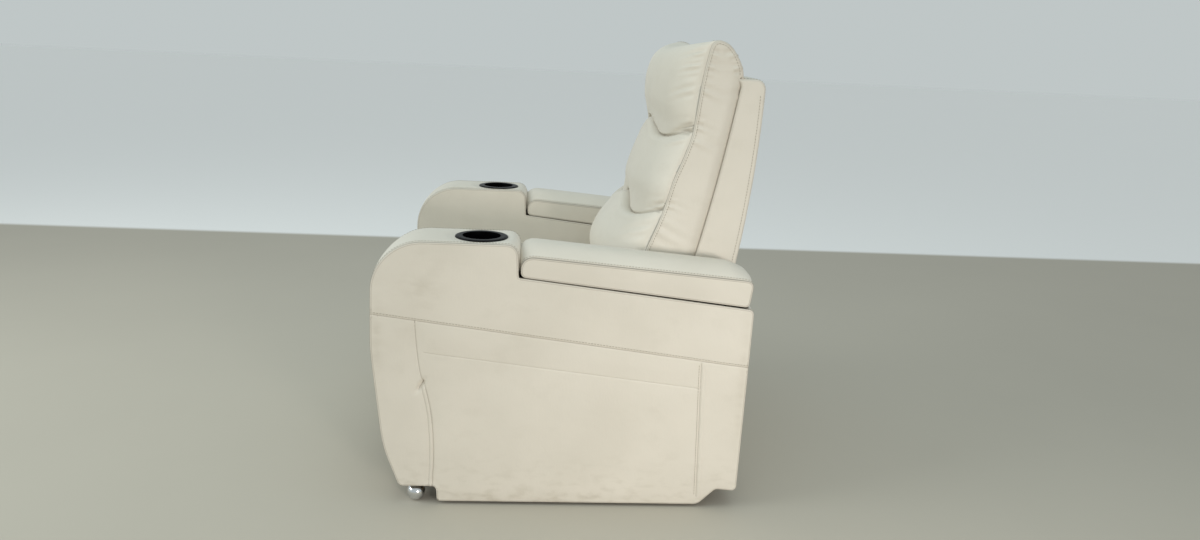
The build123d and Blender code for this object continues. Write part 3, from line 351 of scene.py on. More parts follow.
def ranged(tree, value, low, high, from_low=0.0, from_high=1.0):
    """A value carried from one range to another."""
    node = tree.nodes.new("ShaderNodeMapRange")
    for key, number in zip(("From Min", "From Max", "To Min", "To Max"), (from_low, from_high, low, high)):
        node.inputs[key].default_value = number
    tree.links.new(value, node.inputs["Value"])
    return node.outputs["Result"]


def product(tree, a, b):
    """Two values multiplied."""
    node = tree.nodes.new("ShaderNodeMath")
    node.operation = "MULTIPLY"
    tree.links.new(a, node.inputs[0])
    tree.links.new(b, node.inputs[1])
    return node.outputs["Value"]


def mixed(tree, factor, a, b):
    """Two colours mixed; each is a colour or an output."""
    node = tree.nodes.new("ShaderNodeMix")
    node.data_type = "RGBA"
    tree.links.new(factor, node.inputs["Factor"])
    for socket, colour in (("A", a), ("B", b)):
        target = next(s for s in node.inputs if s.name == socket and s.type == "RGBA")
        if isinstance(colour, tuple):
            target.default_value = (*colour, 1)
        else:
            tree.links.new(colour, target)
    return next(s for s in node.outputs if s.type == "RGBA")


def bumped(tree, shader, *layers):
    """Bumps on a shader, from (height, distance, strength) layers."""
    last = None
    for height, distance, strength in layers:
        bump = tree.nodes.new("ShaderNodeBump")
        bump.inputs["Distance"].default_value = distance
        bump.inputs["Strength"].default_value = strength
        tree.links.new(height, bump.inputs["Height"])
        if last:
            tree.links.new(last, bump.inputs["Normal"])
        last = bump.outputs["Normal"]
    tree.links.new(last, shader.inputs["Normal"])


def patterned(tree, shader, pattern, low, high, distance, strength):
    """Gives a shader two colours and a bump by one pattern."""
    tree.links.new(mixed(tree, pattern, low, high), shader.inputs["Base Color"])
    bumped(tree, shader, (pattern, distance, strength))


LEATHER = (0.700, 0.652, 0.572)
LEATHER_SHADE = (0.660, 0.614, 0.535)
LEATHER_SOIL = (0.42, 0.37, 0.285)
SEAM_AND_SHADE_DARK = (0.24, 0.20, 0.155)
# A plain tone, and the two that a pattern mixes
THREAD = ((0.50, 0.45, 0.36), (0.46, 0.41, 0.325), (0.30, 0.265, 0.205))
PLY = ((0.60, 0.45, 0.28), (0.70, 0.55, 0.36), (0.46, 0.32, 0.18))
WEB = ((0.05, 0.05, 0.05), (0.03, 0.03, 0.03), (0.12, 0.12, 0.12))


def make_leather():
    """Cream leather: soft mottling, fine grain, handling marks, scuffs near the floor, dark seams, and
    painted shade in creases, pleats and gaps.
    """
    material, tree, shader = new_material("cream_leather", LEATHER, 0.5)
    broad = texture(tree, "Noise", 4.5, Detail=3.0)
    colour = mixed(tree, ranged(tree, broad, 0, 1, 0.38, 0.66), LEATHER, LEATHER_SHADE)
    marks = texture(tree, "Noise", 11.0, stretch=(1, 1, 1.6), Detail=6.0, Roughness=0.62)
    handled = ranged(tree, marks, 0, 0.13, 0.56, 0.80)
    low = ranged(tree, place_along(tree, "Z"), 1, 0, 0.01, 0.16)
    scuffs = texture(tree, "Noise", 26.0, stretch=(1, 1, 2.2), Detail=5.0)
    worn = product(tree, low, ranged(tree, scuffs, 0, 0.34, 0.5, 0.75))
    rubbed = product(tree, stored(tree, "soil"), ranged(tree, scuffs, 0.2, 1, 0.35, 0.65))
    for soil in (handled, worn, rubbed):
        colour = mixed(tree, soil, colour, LEATHER_SOIL)
    # The seam number darkens seam lines, and also paints shade into creases, pleats, the arm's tuck and the
    # gaps at covers' edges
    colour = mixed(tree, stored(tree, "seam"), colour, SEAM_AND_SHADE_DARK)
    tree.links.new(colour, shader.inputs["Base Color"])
    tree.links.new(ranged(tree, marks, 0.42, 0.6), shader.inputs["Roughness"])
    grain = texture(tree, "Voronoi", 900.0, feature="SMOOTH_F1")
    creases = texture(tree, "Noise", 150.0, stretch=(1, 1.4, 0.7), Detail=4.0)
    waves = texture(tree, "Noise", 16.0, Detail=2.0)
    bumped(tree, shader, (waves, 0.004, 0.35), (creases, 0.0006, 0.35), (grain, 0.0003, 0.35))
    shader.inputs["Specular IOR Level"].default_value = 0.42
    return material


def make_thread():
    """Thick upholstery thread with a twist."""
    material, tree, shader = new_material("cream_thread", THREAD[0], 0.7)
    twist = texture(tree, "Wave", 900.0, Distortion=1.5)
    patterned(tree, shader, twist, *THREAD[1:], 0.0003, 0.5)
    return material


def make_plywood():
    """Raw birch plywood with long grain."""
    material, tree, shader = new_material("plywood", PLY[0], 0.65)
    grain = texture(tree, "Noise", 30.0, stretch=(3, 0.25, 3), Detail=6.0, Distortion=0.6)
    patterned(tree, shader, grain, *PLY[1:], 0.0006, 0.4)
    return material


def make_plastic(name, colour, roughness, coat):
    """Moulded black plastic, textured or polished."""
    material, tree, shader = new_material(name, colour, roughness)
    skin = texture(tree, "Noise", 700.0, Detail=2.0)
    dust = texture(tree, "Noise", 40.0, Detail=5.0)
    grey = tuple(c * 1.8 + 0.002 for c in colour)
    colour = mixed(tree, ranged(tree, dust, 0, 1, 0.45, 0.8), colour, grey)
    tree.links.new(colour, shader.inputs["Base Color"])
    tree.links.new(ranged(tree, dust, roughness * 0.85, roughness * 1.3), shader.inputs["Roughness"])
    shader.inputs["Specular IOR Level"].default_value = 0.03 if coat else 0.4
    shader.inputs["Coat Weight"].default_value = coat
    shader.inputs["Coat Roughness"].default_value = 0.06
    bumped(tree, shader, (skin, 0.00025, 0.08 if coat else 0.35))
    return material


def make_metal(name, colour, roughness, stretch, metallic=1.0):
    """Plated, polished or coated steel with fine marks along its length."""
    material, tree, shader = new_material(name, colour, roughness, metallic)
    marks = texture(tree, "Noise", 90.0, stretch=stretch, Detail=5.0)
    patterned(tree, shader, marks, colour, tuple(c * 0.8 for c in colour), 0.0002, 0.12)
    tree.links.new(ranged(tree, marks, roughness * 0.7, roughness * 1.5), shader.inputs["Roughness"])
    return material


def make_webbing():
    """Black woven elastic."""
    material, tree, shader = new_material("webbing", WEB[0], 0.85)
    warp = texture(tree, "Wave", 180.0, bands_direction="X")
    weft = texture(tree, "Wave", 180.0, bands_direction="Y")
    patterned(tree, shader, product(tree, warp, weft), *WEB[1:], 0.0006, 0.6)
    return material


leather = make_leather()
thread = make_thread()
SLOT_MATERIALS = {
    "cream_leather": leather,
    "plywood": make_plywood(),
    "black_plastic": make_plastic("black_plastic", (0.018, 0.018, 0.019), 0.5, 0.0),
    "gloss_black": make_plastic("gloss_black", (0.0022, 0.0022, 0.0025), 0.26, 0.02),
    "polished_chrome": make_metal("polished_chrome", (0.82, 0.83, 0.85), 0.15, (1, 1, 1)),
    "black_steel": make_metal("black_steel", (0.03, 0.03, 0.032), 0.45, (1, 1, 1), 0.0),
    "bright_steel": make_metal("bright_steel", (0.55, 0.55, 0.56), 0.32, (6, 1, 6)),
    "webbing": make_webbing(),
}
for subpart in frame["record"]["subparts"]:
    mesh = nodes[subpart["node"]].data
    mesh.materials.clear()
    mesh.materials.append(SLOT_MATERIALS[subpart["material_slot"]])


# Covers


def inside(loop, points):
    """Which points lie inside a closed outline."""
    result = np.zeros(len(points), bool)
    for (ay, az), (by, bz) in zip(loop, np.roll(loop, -1, 0)):
        crosses = (az > points[:, 1]) != (bz > points[:, 1])
        at = ay + (points[:, 1] - az) * (by - ay) / (bz - az if bz != az else 1)
        result ^= crosses & (points[:, 0] < at)
    return result


def apart(kept, points, gap):
    """The points that are no nearer than gap to those kept already."""
    tree = KDTree(len(kept))
    for i, (y, z) in enumerate(kept):
        tree.insert((y, z, 0), i)
    tree.balance()
    return np.array([p for p in points if tree.find((p[0], p[1], 0))[2] > gap]).reshape(-1, 2)


def filled(loop, lines, grid):
    """A sheet of triangles inside an outline, fine along its edge and along lines: points, faces, edge."""
    closed = np.vstack([loop, loop[:1]])
    ring = along(closed, np.arange(0, lengths(closed)[-1] - 0.5 * ROW_STEP, ROW_STEP))
    kept = ring
    inward = normals_left(ring, True)
    for step in NEAR[1:]:
        row = ring + inward * step
        row = row[distance_to(ring, row, True) > 0.95 * step]
        kept = np.vstack([kept, apart(kept, row, RIM_GAP)])
    rows = []
    for line in lines:
        path = along(line, np.arange(0, lengths(line)[-1], ROW_STEP))
        left = normals_left(path)
        rows += [path + left * step * side for step in NEAR for side in (-1, 1)]
    for row in rows:
        row = row[inside(ring, row)]
        kept = np.vstack([kept, apart(kept, row, LEAST_GAP)])
    low = ring.min(0)
    high = ring.max(0)
    mesh = np.mgrid[low[0] : high[0] : grid, low[1] : high[1] : grid].reshape(2, -1).T
    mesh = mesh[inside(ring, mesh)]
    kept = np.vstack([kept, apart(kept, mesh, grid * 0.6)])
    border = [list(range(len(ring)))]
    points, _, faces, origin, _, _ = delaunay_2d_cdt([Vector(p) for p in kept], [], border, 1, 1e-6)
    back = {i: k for k, ids in enumerate(origin) for i in ids}
    flat = np.array([tuple(p) for p in points])
    return flat, [tuple(f) for f in faces], [back[i] for i in range(len(ring))]


def side_cover(
    name, loop, face, sign, edge, depth, lines=(), welts=(),
    puff=0.0, seed=1, grid=0.010, shape=None, bound=0.75,
):
    """A leather side facing along X: rounded over at its edge, seamed along lines, closed at depth.

    Each line has a path and how plain it is to see, bound is how plain the edge's own seam is, and
    shape adds to the height at each point.
    """
    flat, faces, border = filled(loop, [*[line for line, _ in lines], *welts], grid)
    ring = flat[border]
    rim = distance_to(ring, flat, True)
    seams = [distance_to(line, flat) for line, _ in lines]
    free = np.min([rim, *seams], axis=0)
    height = puff * (1 - np.exp(-free / PUFF_REACH)) - rounded(rim, edge)
    # Painted shadow: a fainter dark line just inside the edge, standing for the shade of the gap there
    beside = 0.8 * bell(rim - PAINTED_RIM_SHADOW, PAINTED_RIM_SHADOW_WIDTH)
    mark = bound * np.maximum(bell(rim, RIM_LINE), beside)
    for gap, (_, plain) in zip(seams, lines):
        height -= SEAM_DEPTH * bell(gap, SEAM_WIDTH) * min(1, 2 * plain)
        mark = np.maximum(mark, plain * bell(gap, SEAM_LINE))
    for line in welts:
        height += WELT_HEIGHT * bell(distance_to(line, flat), WELT_WIDTH)
    spread = np.stack([flat[:, 0] * 0, flat[:, 0], flat[:, 1]], 1)
    height += SIDE_WAVE * ripple(spread, 9.0, seed) * (1 - np.exp(-rim / 0.03))
    if shape:
        height += shape(flat) * (1 - np.exp(-rim / 0.006))
    points = [np.stack([face + sign * height, flat[:, 0], flat[:, 1]], 1)]
    inward = normals_left(ring, True)
    count = len(flat)
    last = border
    # How far each row of the turned-in edge is drawn in and dropped back
    for pull, drop in ((0.0004, edge + 0.0006), (0.0030, edge + 0.0016), (0.006, depth), (0.012, depth)):
        spot = ring + inward * pull
        points.append(np.stack([np.full(len(ring), face - sign * drop), spot[:, 0], spot[:, 1]], 1))
        fresh = list(range(count, count + len(ring)))
        faces += zip(last, last[1:] + last[:1], fresh[1:] + fresh[:1], fresh)
        count += len(ring)
        last = fresh
    faces.append(tuple(last))
    # Painted shade: the turned-in edge is darkened, as shade in the gap between covers
    painted_gap_shade = np.concatenate([np.zeros(len(ring)), np.full(3 * len(ring), 0.6)])
    return piece(name, np.vstack(points), faces, leather, np.concatenate([mark, painted_gap_shade]))


def strip(name, path, x0, x1, crown, edge, seed=1, dive=0.011, power=2.6, swell=None):
    """A leather strip swept along a (y, z) path, full on its right, its edges tucked in.

    From the line and its outward directions, swell says how much of the crown is there.
    """
    at = spaced(0, lengths(path)[-1], (), 0.007)
    line = along(path, at)
    out = -normals_left(line)
    across = spaced(x0, x1, (x0, x1), 0.009)
    share = np.abs(2 * (across - x0) / (x1 - x0) - 1)
    full = crown * (1 - share**power)[:, None] * (swell(line, out) if swell else np.ones(len(line)))
    rise = full - rounded(np.minimum(across - x0, x1 - across), edge)[:, None]
    tuck = np.full((1, len(line)), -dive)
    across = np.concatenate([[x0], across, [x1]])
    rise = np.vstack([tuck, rise, tuck])
    points = np.zeros((len(across), len(line), 3))
    points[:, :, 0] = across[:, None]
    points[:, :, 1:] = line[None] + out[None] * rise[:, :, None]
    spread = points.reshape(-1, 3)
    wave = STRIP_WAVE * ripple(spread, 8.0, seed).reshape(len(across), len(line))
    points[:, :, 1:] += out[None] * wave[:, :, None]
    faces = tube_faces(len(across), len(line))
    dark = bell(np.minimum(across - x0, x1 - across), RIM_LINE)
    return piece(name, spread, faces, leather, np.repeat(dark, len(line)))


threads = {}


def sew(cover, points, body, mirror=None):
    """Lays a row of stitches on a cover, near these points, and its mirror image for the other side."""
    mesh = cover.data
    surface = BVHTree.FromPolygons([v.co for v in mesh.vertices], [f.vertices for f in mesh.polygons])
    found = [surface.find_nearest(Vector(p)) for p in points]
    path, facing = (np.array([tuple(hit[i]) for hit in found]) for i in (0, 1))
    flip = np.array([-1, 1, 1])
    threads.setdefault(body, []).append((path, facing))
    threads.setdefault(mirror or body, []).append((path * flip, facing * flip))


def make_stitches():
    """One piece of thread for each body, from all its rows."""
    for body, rows in threads.items():
        points, faces = [], []
        for path, facing in rows:
            stitch_row(path, facing, points, faces)
        dress(piece("stitching_" + body, points, faces, thread), body)


def stitch_row(path, facing, points, faces):
    """Adds a row of stitches, each a short rounded dash that dips in at its ends."""
    at = lengths(path)
    for start in np.arange(0.003, at[-1] - STITCH_LENGTH, STITCH_PITCH):
        spots = along(path, start + STITCH_LENGTH * np.array([0.0, 0.25, 0.75, 1.0]))
        out = np.array([np.interp(start, at, facing[:, i]) for i in range(3)])
        out /= np.linalg.norm(out)
        run = spots[-1] - spots[0]
        aside = np.cross(run / np.linalg.norm(run), out)
        base = len(points)
        for spot, lift in zip(spots, (-0.6, 0.6, 0.6, -0.6)):
            middle = spot + out * STITCH_RADIUS * lift
            for u, v in ((1, 0), (0, 1), (-1, 0), (0, -1)):
                points.append(middle + STITCH_RADIUS * (u * aside + v * out))
        for ring in range(3):
            for k in range(4):
                a = base + ring * 4 + k
                b = base + ring * 4 + (k + 1) % 4
                faces.append((a, b, b + 4, a + 4))


def at_x(x, path, count=700):
    """Points at x along a (y, z) path, clear of its ends."""
    line = along(path, np.linspace(0.003, lengths(path)[-1] - 0.003, count))
    return np.concatenate([np.full((count, 1), x), line], 1)


# Arms

arm_loop = node_outline("left_arm_outer_pad", CORE_OUT)
arm_ring = along(np.vstack([arm_loop, arm_loop[:1]]), np.arange(0, lengths(arm_loop)[-1], 0.002))
# The two seams across the outer side, their height at y = 0 and their fall, and the rear seam
BAND_HEIGHT = 0.4207
BAND_FALL = 0.122
LOWER_HEIGHT = 0.3485
LOWER_FALL = 0.1137
REAR_SEAM = 0.317
# The second line beside the front seam: how high it reaches and how far off it is
DOUBLE_TOP = 0.300
DOUBLE_GAP = 0.0092
# The small tuck in the front seam, how hollow that seam lies and how full the rear is
TUCK = (-0.3395, 0.305)
TUCK_DEPTH = 0.0065
HOLLOW = 0.0035
REAR_PUFF = 0.0020
# Where the front seam is on the outer side: z and y
FRONT_SEAM = (
    (0.030, -0.3132), (0.069, -0.3125), (0.132, -0.3104), (0.221, -0.3145), (0.290, -0.3270),
    (0.328, -0.3395), (0.366, -0.3460), (0.416, -0.3507), (0.463, -0.3533), (0.490, -0.3540),
)
front_seam = smooth_path(FRONT_SEAM, 12)


def band_height(y):
    """The seam across the arm's outer side, which falls towards the rear."""
    return BAND_HEIGHT - BAND_FALL * y


def arm_lines():
    """Seams on the arm's outer side with how plain each is, the small tuck's painted shade line, and the
    welts beside two of them.
    """
    upper = np.array([(y, band_height(y)) for y in np.linspace(-0.47, 0.44, 60)])
    front = front_seam[:, ::-1]
    front = front[front[:, 1] < band_height(front[:, 0])]
    double = front[front[:, 1] < DOUBLE_TOP] - (DOUBLE_GAP, 0)
    rear = np.array([(REAR_SEAM + 0.035 * (0.380 - z), z) for z in np.linspace(0.03, 0.46, 90)])
    rear = rear[rear[:, 1] < band_height(rear[:, 0])]
    lower = np.array([(y, LOWER_HEIGHT - LOWER_FALL * y) for y in np.linspace(-0.333, 0.319, 40)])
    tuck = np.array([TUCK]) + np.linspace(-1, 1, 9)[:, None] * (0.006, 0.011)
    # The tuck's line is no seam: it paints shade into the small crease of the tuck
    seams = [(upper, 0.66), (lower, 0.24), (front, 0.6), (rear, 0.42), (tuck, 0.9), (double, 0.34)]
    return seams, [rear + (0.0048, 0), double + (0.0046, 0)]


def arm_form(flat):
    """The arm's outer side: hollow along the front seam with a small tuck, fuller behind the rear one."""
    seam_y = np.interp(flat[:, 1], front_seam[:, 0], front_seam[:, 1])
    below = 1 / (1 + np.exp((flat[:, 1] - 0.44) / 0.012))
    hollow = -HOLLOW * bell(flat[:, 0] - seam_y, 0.022) * below
    along_tuck = (flat[:, 0] - TUCK[0]) * 0.5 + (flat[:, 1] - TUCK[1]) * 0.866
    aside = (flat[:, 0] - TUCK[0]) * 0.866 - (flat[:, 1] - TUCK[1]) * 0.5
    tuck = -TUCK_DEPTH * bell(along_tuck, 0.016) * bell(aside, 0.006)
    rear = REAR_PUFF * bell(flat[:, 0] - 0.36, 0.05) * below
    return hollow + tuck + rear


# Rubbed places on the arm's outer side: y, z, half length, half height and strength
SMUDGES = (
    (-0.345, 0.545, 0.055, 0.026, 0.22),
    (-0.330, 0.512, 0.032, 0.030, 0.14),
    (-0.100, 0.020, 0.300, 0.014, 0.35),
    (0.418, 0.300, 0.010, 0.150, 0.25),
    (-0.440, 0.420, 0.014, 0.100, 0.25),
)


def soiled(obj):
    """Marks the rubbed places of the arm's outer side."""
    points = positions(obj.data)
    total = np.zeros(len(points))
    for y, z, length, height, strength in SMUDGES:
        total += strength * bell(points[:, 1] - y, length) * bell(points[:, 2] - z, height)
    mark_points(obj.data, "soil", total)


def cut_out(obj, bm, gone):
    """Deletes faces from an object's opened mesh and closes it again."""
    bmesh.ops.delete(bm, geom=gone, context="FACES")
    bm.to_mesh(obj.data)
    bm.free()


# How far round the cup holder the strip is laid down, and how far under the flange's top
CUP_EASE = 0.028
CUP_LAY = 0.0034


def cup_opening(obj):
    """Lays a strip down under the cup holder's flange and opens it over the cup."""
    bm = bmesh.new()
    bm.from_mesh(obj.data)
    for v in bm.verts:
        if v.co.z > CUP_HIGH.z - 0.02:
            gap = math.hypot(v.co.x - ARM_MID, v.co.y - CUP_Y) - CUP_RADIUS
            keep = min(1, max(0, gap / CUP_EASE))
            keep = keep * keep * (3 - 2 * keep)
            v.co.z = min(v.co.z, (1 - keep) * (CUP_HIGH.z - CUP_LAY) + keep * v.co.z)
    gone = []
    for face in bm.faces:
        reach = max(math.hypot(v.co.x - ARM_MID, v.co.y - CUP_Y) for v in face.verts)
        xs = [v.co.x for v in face.verts]
        wide = max(xs) - min(xs) > CUP_RADIUS
        middle = face.calc_center_median()
        beside = middle.z > CUP_LOW.z and abs(middle.y - CUP_Y) < CUP_RADIUS
        if reach < CUP_RADIUS - 0.001 or wide and beside:
            gone.append(face)
    cut_out(obj, bm, gone)


def switch_opening(obj):
    """Opens a cover round the switch."""
    low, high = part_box("switch_housing")
    bm = bmesh.new()
    bm.from_mesh(obj.data)
    for place, axis in ((low, (0, 1, 0)), (high, (0, 1, 0)), (low, (0, 0, 1)), (high, (0, 0, 1))):
        every = [*bm.verts, *bm.edges, *bm.faces]
        bmesh.ops.bisect_plane(bm, geom=every, plane_co=place, plane_no=axis, dist=1e-6)
    gone = []
    for face in bm.faces:
        middle = face.calc_center_median()
        if middle.x < -CORE_OUT - 0.003 and low.y < middle.y < high.y and low.z < middle.z < high.z:
            gone.append(face)
    cut_out(obj, bm, gone)


def both_sides(left, stem, bodies=("base", "base"), cut=None):
    """Dresses a left-hand cover and its mirror image."""
    right = mirrored(left, "right_" + stem + "_cover")
    if cut:
        cut(right)
    dress(left, bodies[0], "left_" + stem, fill=0.8)
    dress(right, bodies[1], "right_" + stem, fill=0.8)


depth = ARM_OUT - CORE_OUT
lines, welts = arm_lines()
outer = side_cover(
    "left_arm_outer_pad_cover", arm_loop, ARM_OUT, 1, EDGE_ROUND, depth, lines, welts,
    puff=0.0022, seed=2, shape=arm_form,
)
sew(outer, at_x(ARM_OUT, lines[0][0] + (0, 0.005)), "base")
sew(outer, at_x(ARM_OUT, lines[3][0] - (0.005, 0)), "base")
soiled(outer)
both_sides(outer, "arm_outer_pad", cut=switch_opening)
inner = side_cover("left_arm_inner_pad_cover", arm_loop, ARM_IN, -1, EDGE_ROUND, depth, seed=3, grid=0.014)
both_sides(inner, "arm_inner_pad")

front_from = next(i for i, (y, z) in enumerate(arm_ring) if y < -0.117 and z > 0.585)
front_to = max(i for i, (y, z) in enumerate(arm_ring) if y < -0.33 and z > 0.049)
front_path = along(arm_ring, np.linspace(*lengths(arm_ring)[[front_from, front_to]], 500))
rear_from = next(i for i, (y, z) in enumerate(arm_ring) if y > 0.40 and z > 0.058)
rear_to = max(i for i, (y, z) in enumerate(arm_ring) if y > 0.418)
rear_path = along(arm_ring, np.linspace(*lengths(arm_ring)[[rear_from, rear_to]], 300))
strip_x = (ARM_IN + SEAM_INSET, ARM_OUT - SEAM_INSET)


def arm_strip(stem, path, crown, seed, count, opening=None):
    """One of the arms' strips, stitched along both edges."""
    cover = strip("left_" + stem + "_cover", path, *strip_x, crown, STRIP_EDGE, seed=seed)
    for x in (strip_x[0] + STITCH_OFFSET, strip_x[1] - STITCH_OFFSET):
        sew(cover, at_x(x, path, count), "base")
    if opening:
        opening(cover)
    both_sides(cover, stem)


arm_strip("arm_front_pad", front_path, 0.0045, 4, 700, cup_opening)
arm_strip("arm_rear_pad", rear_path, 0.002, 5, 300)

# Lids, whose leather wraps down over the board

LID_LOW, LID_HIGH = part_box("left_lid_pad")
# The ledge under the lid, from front to rear
LEDGE_FRONT = -0.118
LEDGE_REAR = 0.42
LEDGE_TOP = 0.572
LEDGE_FALL = math.tan(math.radians(6.3))
# The gap under the lid, at its front and at its rear
LID_CLEAR = (0.0012, 0.0026)
LID_REACH = 0.0072
# Up to this height over the ledge the outline is drawn down
LID_DRAWN = 0.026
LID_SIDE = {"edge": 0.0022, "depth": 0.0065, "puff": 0.002, "grid": 0.008, "bound": 0.95}
LID_CROWN = 0.0245
# How much of the crown is left at the rear end, and where it starts to fall
LID_REAR_CROWN = 0.40
LID_REAR_FALL = 0.060


def wrapped(loop):
    """The lid's outline, drawn down over the board and forward to the cup block."""
    ledge = LEDGE_TOP - (loop[:, 0] - LEDGE_FRONT) * LEDGE_FALL
    height = loop[:, 1] - ledge
    clear = np.interp(loop[:, 0], [LEDGE_FRONT, LEDGE_REAR], LID_CLEAR)
    drawn = clear + (height - height.min()) / (LID_DRAWN - height.min()) * (LID_DRAWN - clear)
    reach = LID_REACH * np.clip(-loop[:, 0] / 0.08, 0, 1)
    return np.stack([loop[:, 0] - reach, ledge + np.where(height < LID_DRAWN, drawn, height)], 1)


lid_loop = eased(wrapped(node_outline("left_lid_pad", LID_HIGH.x)), 0.022)
lid_front = np.argmin(lid_loop[:, 0] + 0.35 * lid_loop[:, 1])
lid_path = along(lid_loop, np.linspace(0.004, lengths(lid_loop)[lid_front] - 0.002, 400))
lid_x = (LID_LOW.x + SEAM_INSET, LID_HIGH.x - SEAM_INSET)


def lid_swell(line, out):
    """The lid's crown: full on top, gone at the front end and lower at the rear end."""
    rear = np.clip((LID_HIGH.y - line[:, 0]) / LID_REAR_FALL, 0, 1)
    rear = LID_REAR_CROWN + (1 - LID_REAR_CROWN) * rear * rear * (3 - 2 * rear)
    return np.clip(out[:, 1], 0, 1) ** 0.7 * rear


lid_parts = [
    side_cover("lid_out", lid_loop, LID_HIGH.x - 0.001, 1, seed=6, **LID_SIDE),
    side_cover("lid_in", lid_loop, LID_LOW.x + 0.001, -1, seed=7, **LID_SIDE),
    strip("lid_top", lid_path, *lid_x, LID_CROWN, 0.003, seed=8, dive=0.007, power=2.4, swell=lid_swell),
]
lid = joined("left_lid_pad_cover", lid_parts)
for x in (lid_x[0] + STITCH_OFFSET, lid_x[1] - STITCH_OFFSET):
    sew(lid, at_x(x, lid_path), "left_lid", "right_lid")
both_sides(lid, "lid_pad", ("left_lid", "right_lid"))

# Back cushion

# Its outline at the side seam and in the middle, in mm: y and z of each
BACK_STATIONS = (
    ((268, 458), (262, 484)), ((150, 462), (104, 482)), ((165, 540), (70, 560)),
    ((190, 610), (85, 622)), ((217, 680), (130, 681)), ((230, 719), (158, 722)),
    ((245, 779), (163, 768)), ((266, 835), (186, 838)), ((284, 890), (210, 898)),
    ((288, 912), (214, 926)), ((293, 965), (203, 975)), ((300, 1026), (206, 1030)),
    ((308, 1073), (222, 1082)), ((317, 1108), (252, 1107)), ((334, 1119), (300, 1111)),
    ((362, 1108), (345, 1115)), ((385, 1078), (380, 1090)), ((396, 1052), (394, 1056)),
    ((398, 1036), (397, 1037)),
)
STATION_POINTS = 24
CREASES = (5, 9)
CREASE_DEPTH = 0.032
CREASE_WIDTH = 0.011
# The creases hang lowest between the middle and the side seam
CREASE_SAG = 0.034
SAG_PLACE = 0.55
SAG_HALF = 0.47
CREASE_HANG = 0.022
CREASE_LIP = 0.005
# How much lower the top edge is in the middle
BROW_DIP = 0.010
# Gathers along the side seam: height, how high the folds reach, how deep and how far apart they are
GATHERS = (
    (1.088, 0.016, 0.0046, 0.021),
    (1.060, 0.020, 0.0046, 0.017),
    (1.003, 0.018, 0.0038, 0.024),
    (0.915, 0.020, 0.0052, 0.019),
    (0.885, 0.014, 0.0040, 0.026),
    (0.722, 0.018, 0.0046, 0.018),
    (0.660, 0.030, 0.0024, 0.030),
)
# Short pleats at the creases' ends: height at the side seam, slope, length and depth
PLEATS = (
    (0.926, -0.05, 0.026, 0.004),
    (0.919, -0.12, 0.034, 0.006),
    (0.903, 0.10, 0.030, 0.006),
    (0.894, 0.30, 0.024, 0.004),
    (0.732, -0.10, 0.024, 0.004),
    (0.710, 0.20, 0.030, 0.005),
    (0.701, 0.45, 0.026, 0.004),
)
PLEAT_WIDTH = 0.0022
# How much narrower the cushion is at the creases
PINCH = 0.018
PINCH_REACH = 0.026
# How the gusset rolls in under the shell's side
ROLL_BEFORE = 0.026
ROLL_UNDER = 0.016
ROLL_DEPTH = 0.015
# The face that the cushion lies on, through the back's pivot, and the shell's sides over it
PIVOT_Y = 0.270
PIVOT_Z = 0.345
LEAN = 0.19257
DECK_BEFORE = 0.0227
WING_LOW = 0.380
WING_RISE = 0.653
GUSSET = {"edge": 0.005, "depth": 0.020, "puff": 0.004, "grid": 0.008}


def deck(z):
    """The face that the back cushion lies on."""
    return PIVOT_Y + (z - PIVOT_Z) * LEAN - DECK_BEFORE


def wing_front(z):
    """The front edge of the shell's sides."""
    share = (z - WING_LOW) / WING_RISE
    return deck(z) + 0.003 + 0.014 * share + 0.048 * share * (1 - share)


def gathers(z, away):
    """Small folds that run off the side seam at some heights."""
    total = np.zeros(np.shape(z))
    for height, reach, deep, pitch in GATHERS:
        lift = z - height + 9 * pitch * away
        fold = deep * np.cos(2 * np.pi * lift / pitch + 40 * away)
        total += fold * bell(lift, reach) * bell(away, 2.2 * pitch)
    return total * (1 - bell(away, 0.009))


def pleats(z, away):
    """Short sharp folds at the ends of the creases."""
    total = np.zeros(np.shape(z))
    for height, slope, length, deep in PLEATS:
        gap = np.abs(z - height - slope * away)
        total += deep * np.exp(-gap / PLEAT_WIDTH) * bell(away, length)
    return total * (1 - bell(away, 0.004))


def pinched(obj, seam):
    """Draws the cushion's sides in a little at the creases."""
    points = positions(obj.data)
    height = points[:, 2]
    order = np.argsort(seam[:, 1])
    behind = np.clip((points[:, 1] - np.interp(height, seam[order, 1], seam[order, 0])) / 0.06, 0, 1)
    levels = [BACK_STATIONS[i][0][1] / 1000 for i in CREASES]
    narrow = sum(bell(height - level, PINCH_REACH) for level in levels)
    points[:, 0] *= 1 - PINCH * narrow * (1 - behind) ** 2
    reshape(obj.data, points)


